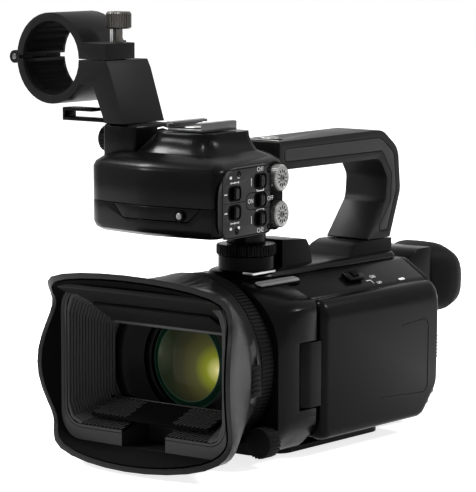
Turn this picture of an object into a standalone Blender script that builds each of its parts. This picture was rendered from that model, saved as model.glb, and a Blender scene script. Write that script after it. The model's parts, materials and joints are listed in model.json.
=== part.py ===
"""Camcorder with a top handle, built as separate named pieces.

Frame: lens looks along -Y, monitor side is +X, +Z is up, the base plate stands on z = 0.
Sizes are in metres.
"""

import math

import bpy
import bmesh
from mathutils import Matrix, Vector

MM = 0.001

# Clearances
GAP = 0.3 * MM
SLIDE_GAP = 0.35 * MM
ARC_STEPS = 6

# Lens line
LENS_Z = 44 * MM
BARREL_NECK_R = 34.5 * MM
BARREL_FLANGE_STEP = 2.7 * MM
BARREL_BORE_R = 24 * MM
BARREL_FLANGE_L = 8.4 * MM
BARREL_TAIL_L = 26 * MM
BARREL_TAIL_R = 27.5 * MM
BARREL_SHOULDER_L = 5 * MM
RING_T = 4.8 * MM
RING_L = 10.8 * MM
RING_TEETH = 44
RING_TOOTH = 0.9 * MM
GLASS_R = 21 * MM
GLASS_RECESS = 8.8 * MM
GLASS_BULGE = 3.5 * MM
GLASS_EDGE = 3.0 * MM
GLASS_BACK = 3.0 * MM
RETAINER_LIP = 2.0 * MM
ZOOM_LENS_BULGE = 3 * MM
ZOOM_LENS_T = 6 * MM
ZOOM_LENS_IN = 10 * MM
SENSOR_W = 14 * MM
SENSOR_H = 10 * MM
SENSOR_T = 2.5 * MM
BOARD_T = 1.6 * MM

# Hood
HOOD_LENGTH = 32 * MM
HOOD_REAR_WALL = 2.8 * MM
HOOD_SIDE_WALL = 8.8 * MM
HOOD_CROWN_IN = 0.7 * MM
HOOD_MID_R = 26 * MM
HOOD_MID_L = 15 * MM
HOOD_RIM_HALF_W = 51 * MM
HOOD_RIM_HALF_H = 37.6 * MM
HOOD_RIM_R = 14 * MM
HOOD_LOBE_REACH = 9 * MM
HOOD_LOBE_OUT = 4.5 * MM
HOOD_NOTCH_REACH = 1.5 * MM
HOOD_NOTCH_OUT = 0.4 * MM
HOOD_TIP_REACH = 9 * MM
HOOD_LIP_REACH = 13 * MM
HOOD_VISOR_HALF_W = 52.5 * MM
HOOD_VISOR_UP = 6.6 * MM
HOOD_VISOR_CROWN = 4.5 * MM
HOOD_CHIN_HALF_W = 46 * MM
HOOD_CHIN_DOWN = 5.4 * MM
HOOD_CHIN_CROWN = 5 * MM
HOOD_FLARE_WALL = 2.4 * MM
HOOD_TIP_PASSES = 3
MOUTH_HALF_W = 44.8 * MM
MOUTH_HALF_H = 27.5 * MM
MOUTH_R = 8 * MM
MOUTH_LIFT = 1.2
TRENCH_HALF_W = 12.5 * MM
TRENCH_DOWN = 35 * MM
WINDOW_HALF_W = 35.5 * MM
WINDOW_HALF_H = 19.8 * MM
WINDOW_R = 3 * MM
WINDOW_DEPTH = 22 * MM
BAFFLE_WALL = 1.2 * MM
BLADE_T = 1.2 * MM
BLADE_HALF_W = 33.5 * MM
BLADE_HINGE_IN = 2.2 * MM
BLADE_HINGE_FORWARD = 2.2 * MM
BLADE_PIN_R = 0.8 * MM
BLADE_MEET_GAP = 0.8 * MM
LEVER_W = 8 * MM
LEVER_H = 14 * MM
LEVER_T = 3.2 * MM
LEVER_TRAVEL = 6 * MM
LEVER_WALL = 4 * MM

# Body
FRONT_Y = -46 * MM
FRONT_SHELL_L = 28 * MM
NOSE_WALL = 6.5 * MM
FRONT_BOTTOM_R = 16 * MM
SHOULDER_X = 42.5 * MM
BODY_L = 97.7 * MM
BODY_LEFT_X = 32 * MM
BODY_RIGHT_X = 48 * MM
BODY_CROWN_WALL = 0.5 * MM
BODY_TOP_HALF = 18 * MM
BODY_EDGE_DROP = 9 * MM
BODY_WALL = 2.2 * MM
REAR_T = 3.7 * MM
BASE_T = 2.7 * MM
BASE_LEFT_X = 26 * MM
BASE_RIGHT_X = 32 * MM
BASE_FRONT_Y = -25 * MM
BASE_REAR_Y = 54 * MM
SOCKET_R = 6 * MM
SOCKET_BORE_R = 3.2 * MM
SOCKET_Y = 22 * MM
SOCKET_H = 9 * MM
MAIN_BOARD_HALF = 20 * MM
MAIN_BOARD_L = 26 * MM

# Top of the body
COVER_HALF_W = 17 * MM
COVER_T = 3 * MM
COLLAR_Y = -17 * MM
COLLAR_R = 12.8 * MM
COLLAR_H = 6 * MM
FOOT_HALF_W = 13 * MM
PLINTH_HALF_W = 10 * MM
PLINTH_L = 23 * MM
PLINTH_UP = 6.2 * MM
GRILLE_W = 5 * MM
GRILLE_SHARE = 0.16
GRILLE_L = 11.5 * MM
GRILLE_T = 1.2 * MM

# Monitor
HINGE_X = 36.8 * MM
HINGE_Y = -24 * MM
HINGE_R = 6.6 * MM
HINGE_PIN_R = 1.5 * MM
HINGE_LOW_Z = 23.3 * MM
HINGE_H = 30 * MM
PANEL_T = 11.4 * MM
PANEL_L = 92 * MM
PANEL_LOW_Z = 7 * MM
PANEL_TOP_Z = 70.7 * MM
PANEL_BEZEL_T = 3.4 * MM
PANEL_EDGE = 3 * MM
PANEL_ROUND = 5.5 * MM
PANEL_TOP_ROUND = 9 * MM
PANEL_ROUND_STEPS = 5
SCREEN_L = 77 * MM
SCREEN_H = 46 * MM
SCREEN_T = 0.9 * MM

# Controls on the body
DIAL_R = 7 * MM
DIAL_L = 8 * MM
DIAL_IN = 3.3 * MM
DIAL_Z = 11 * MM
MODE_W = 6 * MM
MODE_L = 12 * MM
MODE_T = 2.2 * MM
REC_X = -30 * MM
REC_Z = 62 * MM
REC_R = 5 * MM
REC_PROUD = 3 * MM
REC_TRAVEL = 1.2 * MM
REC_FLOOR = 0.7 * MM
ROCKER_W = 8 * MM
ROCKER_L = 22 * MM
ROCKER_T = 4 * MM
ROCKER_RISE = 1.7 * MM

# Viewfinder and battery
EVF_R = 14 * MM
EVF_HALF_W = 15 * MM
EVF_Z = 67 * MM
EVF_PIVOT_BACK = 17 * MM
EVF_L = 8 * MM
EVF_MOUNT_HALF_H = 7 * MM
EVF_WALL = 2 * MM
EVF_GLASS_T = 2 * MM
CUP_L = 25 * MM
CUP_HALF_W = 20 * MM
CUP_HALF_H = 17.2 * MM
CUP_DROP = 3 * MM
CUP_WALL = 2 * MM
BATTERY_W = 40 * MM
BATTERY_L = 28 * MM
BATTERY_H = 34 * MM
BATTERY_Z = 8 * MM
LATCH_X = -30 * MM
LATCH_W = 12 * MM
LATCH_H = 4 * MM
LATCH_T = 2.5 * MM

# Hand strap
STRAP_T = 5 * MM
STRAP_H = 42 * MM
STRAP_END_H = 24 * MM
STRAP_BOW = 30 * MM
STRAP_Z = 44 * MM
STRAP_FRONT_IN = 6 * MM
STRAP_REAR_IN = 6 * MM
STRAP_END_TUCK = 0.5 * MM

# Audio block
AUDIO_MID_X = -8 * MM
AUDIO_MID_Y = -46 * MM
AUDIO_NOSE_Y = -80 * MM
AUDIO_SIDE_X = -51.5 * MM
AUDIO_SIDE_FRONT_Y = -58 * MM
AUDIO_SIDE_REAR_X = -49 * MM
AUDIO_SIDE_REAR_Y = -24 * MM
AUDIO_CORNER_X = -43 * MM
AUDIO_CORNER_Y = -74.5 * MM
AUDIO_REAR_X = -26 * MM
AUDIO_HEEL_X = 13 * MM
PANEL_A_X = 30 * MM
PANEL_A_Y = -75.5 * MM
PANEL_B_X = 24 * MM
PANEL_B_Y = -21 * MM
TABLE_RIGHT_X = -20 * MM
TABLE_LEFT_X = 12 * MM
TABLE_FRONT_Y = -61 * MM
TABLE_REAR_Y = -27 * MM
WHEEL_R = 13.4 * MM
WHEEL_H = 5 * MM
WHEEL_TEETH = 36
WHEEL_TOOTH = 0.6 * MM
BOSS_R = 9 * MM
BOSS_H = 8 * MM
LOWER_H = 13.5 * MM
LOWER_ROUND = 4 * MM
UPPER_WALL_H = 17 * MM
UPPER_H = 30.5 * MM
PANEL_PLATE_T = 2 * MM
PANEL_PLATE_START = 0.5 * MM
PANEL_PLATE_L = 40.2 * MM
PANEL_PLATE_H = 30.7 * MM
PANEL_PLATE_LIFT = 0.3 * MM
PANEL_POCKET = 1.2 * MM
KNOB_L = 3 * MM
KNOB_H = 5 * MM
KNOB_T = 2.2 * MM
KNOB_TRAVEL = 2.5 * MM
LEVEL_R = 6 * MM
LEVEL_T = 4.5 * MM
LEVEL_TEETH = 30
LAMP_X = -3 * MM
LAMP_W = 50 * MM
LAMP_TAPER = 6.5 * MM
LAMP_H = 6.3 * MM
LAMP_ROUND = 2 * MM
LAMP_IN = 4.5 * MM
XLR_R = 9.8 * MM
XLR_BORE_R = 8 * MM
XLR_L = 15 * MM
XLR_DEPTH = 11 * MM
XLR_IN = 2 * MM
XLR_UP = 1 * MM
XLR_FRONT_Y = -48 * MM
XLR_PITCH = 21 * MM
SHOE_W = 21 * MM
SHOE_L = 24 * MM
SHOE_H = 4.2 * MM
SHOE_SHEET = 1.2 * MM
SHOE_LIP = 3 * MM
SHOE_X = -4 * MM
SHOE_Y = -44 * MM

# Handle
HANDLE_HALF_W = 12 * MM
HANDLE_BAR_H = 13 * MM
HANDLE_EDGE = 2.5 * MM
INLAY_T = 0.9 * MM
INLAY_IN = 3.4 * MM
HANDLE_BUTTON_R = 4.5 * MM
HANDLE_BUTTON_TRAVEL = 1.0 * MM

# Microphone holder
MIC_X = -75.3 * MM
MIC_RISE = 44.3 * MM
MIC_BORE_R = 17 * MM
MIC_WALL = 3.75 * MM
MIC_FRONT_Y = -65 * MM
MIC_L = 28.6 * MM
MIC_SPLIT = 0.4 * MM
MIC_HINGE_SPLIT = 1.8 * MM
MIC_PIN_R = 1.4 * MM
MIC_EYE_R = 3 * MM
MIC_BASE_X = -27 * MM
MIC_BASE_W = 19 * MM
MIC_BASE_L = 25 * MM
MIC_BASE_H = 15.7 * MM
MIC_SCREW_X = -46.7 * MM
MIC_ROD_R = 2.2 * MM
MIC_HEAD_R = 5.8 * MM
MIC_HEAD_H = 7.7 * MM
MIC_HEAD_LIFT = 6.3 * MM
MIC_BOSS_H = 7.4 * MM
MIC_BOSS_L = 20 * MM
MIC_BOSS_END = 4.6 * MM
MIC_KNOB_R = 6 * MM
MIC_KNOB_L = 9 * MM
CLIP_L = 26 * MM
CLIP_H = 6 * MM
CLIP_T = 1.5 * MM
CLIP_W = 8 * MM
CLIP_X = -44.2 * MM

# Places that follow from the sizes above
BARREL_FLANGE_R = BARREL_NECK_R + BARREL_FLANGE_STEP
RING_R = BARREL_NECK_R + RING_T
FRONT_HALF_W = BARREL_NECK_R + NOSE_WALL
BODY_TOP_Z = LENS_Z + BARREL_NECK_R + BODY_CROWN_WALL
BODY_EDGE_Z = BODY_TOP_Z - BODY_EDGE_DROP
HOOD_MID_HALF_W = BARREL_FLANGE_R + HOOD_SIDE_WALL
HOOD_MID_HALF_H = BARREL_FLANGE_R - HOOD_CROWN_IN
LEVER_FLOOR_X = BARREL_FLANGE_R + LEVER_WALL
DIAL_X = RING_R - DIAL_IN
FLANGE_REAR_Y = FRONT_Y - GAP - RING_L - GAP
FLANGE_FRONT_Y = FLANGE_REAR_Y - BARREL_FLANGE_L
HOOD_REAR_Y = FLANGE_REAR_Y
RIM_Y = HOOD_REAR_Y - HOOD_LENGTH
WINDOW_Y = RIM_Y + WINDOW_DEPTH
SHELL_FRONT_Y = FRONT_Y + FRONT_SHELL_L + GAP
REAR_Y = SHELL_FRONT_Y + BODY_L
REAR_FACE_Y = REAR_Y + GAP + REAR_T
SHELL_BOTTOM_Z = BASE_T + GAP
COVER_TOP_Z = BODY_TOP_Z + GAP + COVER_T
COLLAR_TOP_Z = COVER_TOP_Z + COLLAR_H
WHEEL_Z = COLLAR_TOP_Z + GAP
BOSS_Z = WHEEL_Z + WHEEL_H + GAP
AUDIO_Z = BOSS_Z + BOSS_H
SEAM_Z = AUDIO_Z + LOWER_H
UPPER_Z = SEAM_Z + GAP
SHOULDER_Z = UPPER_Z + UPPER_WALL_H
PLATEAU_Z = UPPER_Z + UPPER_H
PANEL_FRONT_Y = HINGE_Y + HINGE_R + 0.9 * MM
PANEL_IN_X = BODY_LEFT_X + 2 * GAP
PANEL_OUT_X = PANEL_IN_X + PANEL_T
XLR_FACE_X = AUDIO_SIDE_X + XLR_IN
MIC_Z = SHOULDER_Z + MIC_RISE
MIC_OUT_R = MIC_BORE_R + MIC_WALL
MIC_BACK_Y = MIC_FRONT_Y + MIC_L

PARTS = "camcorder"
CUTTERS = "camcorder_cutters"


# Scene set-up
def start():
    for obj in list(bpy.data.objects):
        bpy.data.objects.remove(obj, do_unlink=True)
    made = {}
    for name in (PARTS, CUTTERS):
        made[name] = bpy.data.collections.new(name)
        bpy.context.scene.collection.children.link(made[name])
    made[CUTTERS].hide_render = True
    return made


COLLECTIONS = start()
MATERIALS = {}


def finish(name, colour, roughness=0.5, metallic=0.0):
    material = bpy.data.materials.new(name)
    material.use_nodes = True
    shader = material.node_tree.nodes["Principled BSDF"]
    shader.inputs["Base Color"].default_value = (*colour, 1.0)
    shader.inputs["Roughness"].default_value = roughness
    shader.inputs["Metallic"].default_value = metallic
    MATERIALS[name] = material


finish("black_body", (0.030, 0.030, 0.032), 0.45)
finish("dark_grey", (0.065, 0.065, 0.068), 0.5)
finish("grip_grey", (0.10, 0.10, 0.105), 0.7)
finish("rubber", (0.02, 0.02, 0.021), 0.8)
finish("glass", (0.02, 0.06, 0.03), 0.05)
finish("silver", (0.62, 0.62, 0.63), 0.3, 1.0)
finish("steel", (0.5, 0.5, 0.5), 0.35, 1.0)
finish("brass", (0.7, 0.5, 0.25), 0.35, 1.0)
finish("board", (0.02, 0.12, 0.05), 0.5)
finish("mesh_grey", (0.25, 0.25, 0.26), 0.5, 0.6)
finish("webbing", (0.025, 0.025, 0.027), 0.9)
finish("window", (0.01, 0.01, 0.012), 0.1)
finish("red", (0.5, 0.02, 0.02), 0.4)


# Shape tools
def put(mesh_or_curve, name, material="black_body", cutter=False):
    obj = bpy.data.objects.new(name, mesh_or_curve)
    COLLECTIONS[CUTTERS if cutter else PARTS].objects.link(obj)
    if cutter:
        obj.display_type = "WIRE"
    else:
        obj.data.materials.clear()
        obj.data.materials.append(MATERIALS[material])
    return obj


def freeze(obj):
    """Turns an object with modifiers into a plain mesh object."""
    bpy.context.view_layer.update()
    graph = bpy.context.evaluated_depsgraph_get()
    mesh = bpy.data.meshes.new_from_object(obj.evaluated_get(graph))
    mesh.transform(obj.matrix_world)
    tidy = bmesh.new()
    tidy.from_mesh(mesh)
    bmesh.ops.remove_doubles(tidy, verts=tidy.verts, dist=0.004 * MM)
    bmesh.ops.recalc_face_normals(tidy, faces=tidy.faces)
    tidy.to_mesh(mesh)
    tidy.free()
    name = obj.name
    materials = [slot.material for slot in obj.material_slots]
    holder = obj.users_collection[0]
    bpy.data.objects.remove(obj, do_unlink=True)
    new = bpy.data.objects.new(name, mesh)
    holder.objects.link(new)
    mesh.materials.clear()
    for material in materials:
        mesh.materials.append(material)
    return new


def combine(target, others, operation="DIFFERENCE", solver="EXACT"):
    """Applies cutters or additions to a piece, one after another."""
    for other in others:
        modifier = target.modifiers.new("join", "BOOLEAN")
        modifier.operation = operation
        modifier.solver = solver
        modifier.object = other
        target = freeze(target)
        bpy.data.objects.remove(other, do_unlink=True)
    return target


def bevelled(obj, width, segments=2, angle=40):
    modifier = obj.modifiers.new("edges", "BEVEL")
    modifier.width = width
    modifier.segments = segments
    modifier.limit_method = "ANGLE"
    modifier.angle_limit = math.radians(angle)
    return freeze(obj)


def box(name, low, high, material="black_body", cutter=False):
    mesh = bpy.data.meshes.new(name)
    work = bmesh.new()
    bmesh.ops.create_cube(work, size=1.0)
    low = Vector(low)
    high = Vector(high)
    size = high - low
    middle = (high + low) / 2
    bmesh.ops.scale(work, vec=size, verts=work.verts)
    bmesh.ops.translate(work, vec=middle, verts=work.verts)
    work.to_mesh(mesh)
    work.free()
    return put(mesh, name, material, cutter)


AXIS_TURN = {
    "X": Matrix.Rotation(math.pi / 2, 4, "Y"),
    "Y": Matrix.Rotation(-math.pi / 2, 4, "X"),
    "Z": Matrix.Identity(4),
}


def cylinder(name, radius, low, high, centre, axis="Z", sides=32, material="black_body", cutter=False):
    """A cylinder from low to high along its axis; centre gives the other two coordinates in order."""
    mesh = bpy.data.meshes.new(name)
    work = bmesh.new()
    bmesh.ops.create_cone(work, cap_ends=True, segments=sides, radius1=radius, radius2=radius, depth=high - low)
    mid = (high + low) / 2
    place = {
        "X": Vector((mid, centre[0], centre[1])),
        "Y": Vector((centre[0], mid, centre[1])),
        "Z": Vector((centre[0], centre[1], mid)),
    }[axis]
    bmesh.ops.transform(work, matrix=Matrix.Translation(place) @ AXIS_TURN[axis], verts=work.verts)
    work.to_mesh(mesh)
    work.free()
    return put(mesh, name, material, cutter)


def rounded(corners, steps=ARC_STEPS):
    """A closed outline from corners (a, b, radius), going round counter-clockwise."""
    out = []
    count = len(corners)
    for i, (a, b, radius) in enumerate(corners):
        here = Vector((a, b))
        before = (Vector(corners[i - 1][:2]) - here).normalized()
        after = (Vector(corners[(i + 1) % count][:2]) - here).normalized()
        if radius <= 0:
            out.append(here)
            continue
        half = before.angle(after) / 2
        reach = radius / math.tan(half)
        start_point = here + before * reach
        end_point = here + after * reach
        middle = here + (before + after).normalized() * (radius / math.sin(half))
        first = math.atan2(start_point.y - middle.y, start_point.x - middle.x)
        last = math.atan2(end_point.y - middle.y, end_point.x - middle.x)
        sweep = (last - first + math.pi) % (2 * math.pi) - math.pi
        for k in range(steps + 1):
            turn = first + sweep * k / steps
            out.append(middle + radius * Vector((math.cos(turn), math.sin(turn))))
    return out


def inset(corners, distance):
    """The same corners moved inwards by a distance, radii made smaller to match."""
    count = len(corners)
    lines = []
    for i in range(count):
        start_point = Vector(corners[i][:2])
        end_point = Vector(corners[(i + 1) % count][:2])
        along = (end_point - start_point).normalized()
        inward = Vector((-along.y, along.x))
        lines.append((start_point + inward * distance, along))
    out = []
    for i in range(count):
        (p, d), (q, e) = lines[i - 1], lines[i]
        cross = d.x * e.y - d.y * e.x
        if abs(cross) < 1e-9:
            point = q
        else:
            t = ((q.x - p.x) * e.y - (q.y - p.y) * e.x) / cross
            point = p + d * t
        out.append((point.x, point.y, max(corners[i][2] - distance, 0.2 * MM)))
    return out


PLANE = {
    "X": Matrix(((0, 0, 1, 0), (1, 0, 0, 0), (0, 1, 0, 0), (0, 0, 0, 1))),
    "Y": Matrix(((1, 0, 0, 0), (0, 0, -1, 0), (0, 1, 0, 0), (0, 0, 0, 1))),
    "Z": Matrix.Identity(4),
}


def extruded(name, outline, low, high, axis="Z", material="black_body", cutter=False):
    """A flat outline drawn as a filled curve and given depth along an axis."""
    curve = bpy.data.curves.new(name, "CURVE")
    curve.dimensions = "2D"
    curve.fill_mode = "BOTH"
    curve.extrude = (high - low) / 2
    spline = curve.splines.new("POLY")
    spline.points.add(len(outline) - 1)
    for point, value in zip(spline.points, outline):
        point.co = (value[0], value[1], 0, 1)
    spline.use_cyclic_u = True
    obj = put(curve, name, material, cutter)
    middle = (high + low) / 2
    shift = {"X": (middle, 0, 0), "Y": (0, middle, 0), "Z": (0, 0, middle)}[axis]
    obj.matrix_world = Matrix.Translation(shift) @ PLANE[axis]
    return freeze(obj)


def turned(name, profile, centre, axis="Y", steps=48, material="black_body", cutter=False):
    """A closed profile of (radius, place along axis) turned all the way round an axis through centre."""
    mesh = bpy.data.meshes.new(name)
    verts = [(radius, 0, along) for radius, along in profile]
    edges = [(i, (i + 1) % len(verts)) for i in range(len(verts))]
    mesh.from_pydata(verts, edges, [])
    obj = put(mesh, name, material, cutter)
    screw = obj.modifiers.new("turn", "SCREW")
    screw.axis = "Z"
    screw.steps = steps
    screw.render_steps = steps
    screw.use_merge_vertices = True
    screw.merge_threshold = 0.00001
    turn = {"X": AXIS_TURN["X"], "Y": AXIS_TURN["Y"], "Z": AXIS_TURN["Z"]}[axis]
    obj.matrix_world = Matrix.Translation(centre) @ turn
    return freeze(obj)


def toothed(radius, teeth, depth):
    """A knurled outline with flat-topped teeth."""
    out = []
    for i in range(teeth):
        for part, reach in ((0.0, radius), (0.45, radius), (0.55, radius - depth), (0.9, radius - depth)):
            turn = 2 * math.pi * (i + part) / teeth
            out.append((reach * math.cos(turn), reach * math.sin(turn)))
    return out


def moved(outline, a, b):
    return [(p[0] + a, p[1] + b) for p in outline]


def skinned(name, rings, material="black_body", cutter=False, closed=False):
    """A body lofted through rings of matching points, capped at both ends unless closed."""
    mesh = bpy.data.meshes.new(name)
    work = bmesh.new()
    rows = [[work.verts.new(p) for p in ring] for ring in rings]
    count = len(rings[0])
    pairs = list(zip(rows, rows[1:]))
    if closed:
        pairs.append((rows[-1], rows[0]))
    for low, high in pairs:
        for i in range(count):
            j = (i + 1) % count
            work.faces.new((low[i], low[j], high[j], high[i]))
    if not closed:
        work.faces.new(list(reversed(rows[0])))
        work.faces.new(rows[-1])
    bmesh.ops.recalc_face_normals(work, faces=work.faces)
    work.to_mesh(mesh)
    work.free()
    return put(mesh, name, material, cutter)


def radial(outline, centre, count):
    """Points of an outline met by evenly turned rays from a centre."""
    out = []
    middle = Vector(centre)
    for k in range(count):
        turn = 2 * math.pi * k / count
        ray = Vector((math.cos(turn), math.sin(turn)))
        best = None
        for i in range(len(outline)):
            p = Vector(outline[i]) - middle
            q = Vector(outline[(i + 1) % len(outline)]) - middle
            side = q - p
            cross = ray.x * side.y - ray.y * side.x
            if abs(cross) < 1e-12:
                continue
            t = (p.x * side.y - p.y * side.x) / cross
            s = (p.x * ray.y - p.y * ray.x) / cross
            if t > 0 and -1e-9 <= s <= 1 + 1e-9 and (best is None or t > best):
                best = t
        out.append(middle + ray * best)
    return out


def at_x(outline, x):
    return [(x, p[0], p[1]) for p in outline]


def at_y(outline, y):
    return [(p[0], y, p[1]) for p in outline]


def at_z(outline, z):
    return [(p[0], p[1], z) for p in outline]


def rectangle(half_w, half_h, radius, centre_z):
    corners = [
        (half_w, centre_z - half_h, radius),
        (half_w, centre_z + half_h, radius),
        (-half_w, centre_z + half_h, radius),
        (-half_w, centre_z - half_h, radius),
    ]
    return rounded(corners)


def matched(half_w, half_h, radius, sides=8):
    """A rounded rectangle round the lens axis whose points keep the same order at every size."""
    rounds = rectangle(half_w, half_h, radius, LENS_Z)
    step = ARC_STEPS + 1
    out = []
    for corner in range(4):
        out += rounds[corner * step:(corner + 1) * step]
        last = out[-1]
        following = rounds[(corner + 1) * step % len(rounds)]
        out += [last.lerp(following, k / sides) for k in range(1, sides)]
    return out


def lifted(ring):
    """The upper half of a mouth ring raised, because the roof of the hood is steeper than its floor."""
    return [Vector((p.x, LENS_Z + (p.y - LENS_Z) * (MOUTH_LIFT if p.y > LENS_Z else 1))) for p in ring]


def circle(radius):
    """A circle round the lens axis with its points in the order of matched()."""
    middle = Vector((0, LENS_Z))
    return [middle + (p - middle).normalized() * radius for p in matched(radius, radius, radius / 2)]


# Outlines of the body
def body_corners():
    """Body section in X and Z, counter-clockwise seen from the front."""
    low = SHELL_BOTTOM_Z
    return [
        (-BODY_RIGHT_X + 12 * MM, low, 14 * MM),
        (BODY_LEFT_X - 8 * MM, low, 8 * MM),
        (BODY_LEFT_X, low + 13 * MM, 8 * MM),
        (BODY_LEFT_X, BODY_EDGE_Z, 4 * MM),
        (BODY_TOP_HALF, BODY_TOP_Z, 6 * MM),
        (-BODY_TOP_HALF - 10 * MM, BODY_TOP_Z, 16 * MM),
        (-BODY_RIGHT_X, BODY_TOP_Z - 18 * MM, 16 * MM),
        (-BODY_RIGHT_X, low + 16 * MM, 14 * MM),
    ]


def front_corners():
    low = SHELL_BOTTOM_Z
    return [
        (-BODY_RIGHT_X + 12 * MM, low, 14 * MM),
        (SHOULDER_X - 12 * MM, low, 10 * MM),
        (SHOULDER_X, low + 13 * MM, 8 * MM),
        (SHOULDER_X, BODY_EDGE_Z, 5 * MM),
        (BODY_TOP_HALF, BODY_TOP_Z, 6 * MM),
        (-BODY_TOP_HALF - 10 * MM, BODY_TOP_Z, 16 * MM),
        (-BODY_RIGHT_X, BODY_TOP_Z - 18 * MM, 16 * MM),
        (-BODY_RIGHT_X, low + 16 * MM, 14 * MM),
    ]


def nose_outline():
    corners = [
        (FRONT_HALF_W, SHELL_BOTTOM_Z, FRONT_BOTTOM_R),
        (FRONT_HALF_W, BODY_TOP_Z, FRONT_HALF_W * 0.7),
        (-FRONT_HALF_W, BODY_TOP_Z, FRONT_HALF_W * 0.7),
        (-FRONT_HALF_W, SHELL_BOTTOM_Z, FRONT_BOTTOM_R),
    ]
    return rounded(corners, 10)


# Body shells
def make_body():
    base_corners = [
        (-BASE_RIGHT_X, BASE_FRONT_Y, 8 * MM),
        (BASE_LEFT_X, BASE_FRONT_Y, 8 * MM),
        (BASE_LEFT_X, BASE_REAR_Y, 8 * MM),
        (-BASE_RIGHT_X, BASE_REAR_Y, 8 * MM),
    ]
    base = extruded("base_plate", rounded(base_corners), 0, BASE_T, "Z", "rubber")
    bore_r = SOCKET_R + GAP
    hole = cylinder("c", bore_r, -5 * MM, BASE_T + 5 * MM, (0, SOCKET_Y), "Z", 32, cutter=True)
    combine(base, [hole])
    ring = [
        (SOCKET_BORE_R, SOCKET_H),
        (SOCKET_R, SOCKET_H),
        (SOCKET_R, 0.1 * MM),
        (SOCKET_BORE_R, 0.1 * MM),
    ]
    turned("tripod_socket", ring, (0, SOCKET_Y, 0), "Z", 32, "steel")

    corners = body_corners()
    for side in ("left", "right"):
        shell = extruded(f"{side}_shell", rounded(corners), SHELL_FRONT_Y, REAR_Y, "Y")
        hollow = extruded("c", rounded(inset(corners, BODY_WALL)), SHELL_FRONT_Y - 1 * MM, REAR_Y + 1 * MM, "Y",
                          cutter=True)
        far = 200 * MM
        cut_low, cut_high = (-far, GAP / 2) if side == "left" else (-GAP / 2, far)
        half = box("c", (cut_low, -far, -far), (cut_high, far, far), cutter=True)
        hole = cylinder("c", bore_r, -5 * MM, SOCKET_H + 5 * MM, (0, SOCKET_Y), "Z", 32, cutter=True)
        combine(shell, [hollow, half, hole])

    rear = extruded("rear_cover", rounded(inset(corners, 0.4 * MM)), REAR_Y + GAP, REAR_FACE_Y, "Y", "dark_grey")
    pocket_floor = REAR_Y + GAP + REC_FLOOR
    pocket = cylinder("c", REC_R + GAP, pocket_floor, REAR_FACE_Y + 5 * MM, (REC_X, REC_Z), "Y", cutter=True)
    rear = combine(rear, [pocket])
    pivot = REAR_FACE_Y + EVF_PIVOT_BACK
    mount = box("c", (-EVF_HALF_W + 1 * MM, REAR_FACE_Y - 1 * MM, EVF_Z - EVF_MOUNT_HALF_H),
                (EVF_HALF_W - 1 * MM, pivot, EVF_Z + EVF_MOUNT_HALF_H), cutter=True)
    cradle = cylinder("c", EVF_R + SLIDE_GAP, -EVF_HALF_W - 5 * MM, EVF_HALF_W + 5 * MM, (pivot, EVF_Z), "X", 48,
                      cutter=True)
    mount = combine(mount, [cradle])
    combine(rear, [mount], "UNION")
    floor_z = SHELL_BOTTOM_Z + BODY_WALL + GAP
    box("main_board", (-MAIN_BOARD_HALF, SHELL_FRONT_Y + 3 * MM, floor_z),
        (MAIN_BOARD_HALF, SHELL_FRONT_Y + 3 * MM + MAIN_BOARD_L, floor_z + BOARD_T), "board")


def make_front():
    count = 96
    middle = (0, LENS_Z)
    wide = rounded(front_corners())
    nose = nose_outline()
    back = FRONT_Y + FRONT_SHELL_L
    rings = [
        at_y(radial(nose, middle, count), FRONT_Y),
        at_y([p.lerp(q, 0.75) for p, q in zip(radial(nose, middle, count), radial(wide, middle, count))],
             FRONT_Y + 8 * MM),
        at_y(radial(wide, middle, count), FRONT_Y + 16 * MM),
        at_y(radial(wide, middle, count), back),
    ]
    shell = skinned("front_shell", rings)
    bore = cylinder("c", BARREL_TAIL_R + GAP, FRONT_Y - 5 * MM, back + 5 * MM, (0, LENS_Z), "Y", 64, cutter=True)
    mouth_back = FRONT_Y + BARREL_SHOULDER_L + GAP
    mouth = cylinder("c", BARREL_NECK_R + GAP, FRONT_Y - 5 * MM, mouth_back, (0, LENS_Z), "Y", 64, cutter=True)
    high = HINGE_LOW_Z + HINGE_H
    notch_r = HINGE_R + 2.0 * MM
    notch = box("c", (HINGE_X - notch_r + 1.4 * MM, HINGE_Y - notch_r, HINGE_LOW_Z - GAP),
                (HINGE_X + 30 * MM, back + 5 * MM, high + GAP), cutter=True)
    corner = box("c", (HINGE_X, HINGE_Y, -50 * MM), (HINGE_X + 30 * MM, back + 5 * MM, 200 * MM), cutter=True)
    keep = cylinder("c", HINGE_R + 0.2 * MM, -60 * MM, 210 * MM, (HINGE_X, HINGE_Y), "Z", 32, cutter=True)
    corner = combine(corner, [keep])
    shell = combine(shell, [bore, mouth, notch, corner])
    pin = cylinder("c", HINGE_PIN_R, HINGE_LOW_Z - 3 * MM, high + 3 * MM, (HINGE_X, HINGE_Y), "Z", 20, cutter=True)
    combine(shell, [pin], "UNION")


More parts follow.
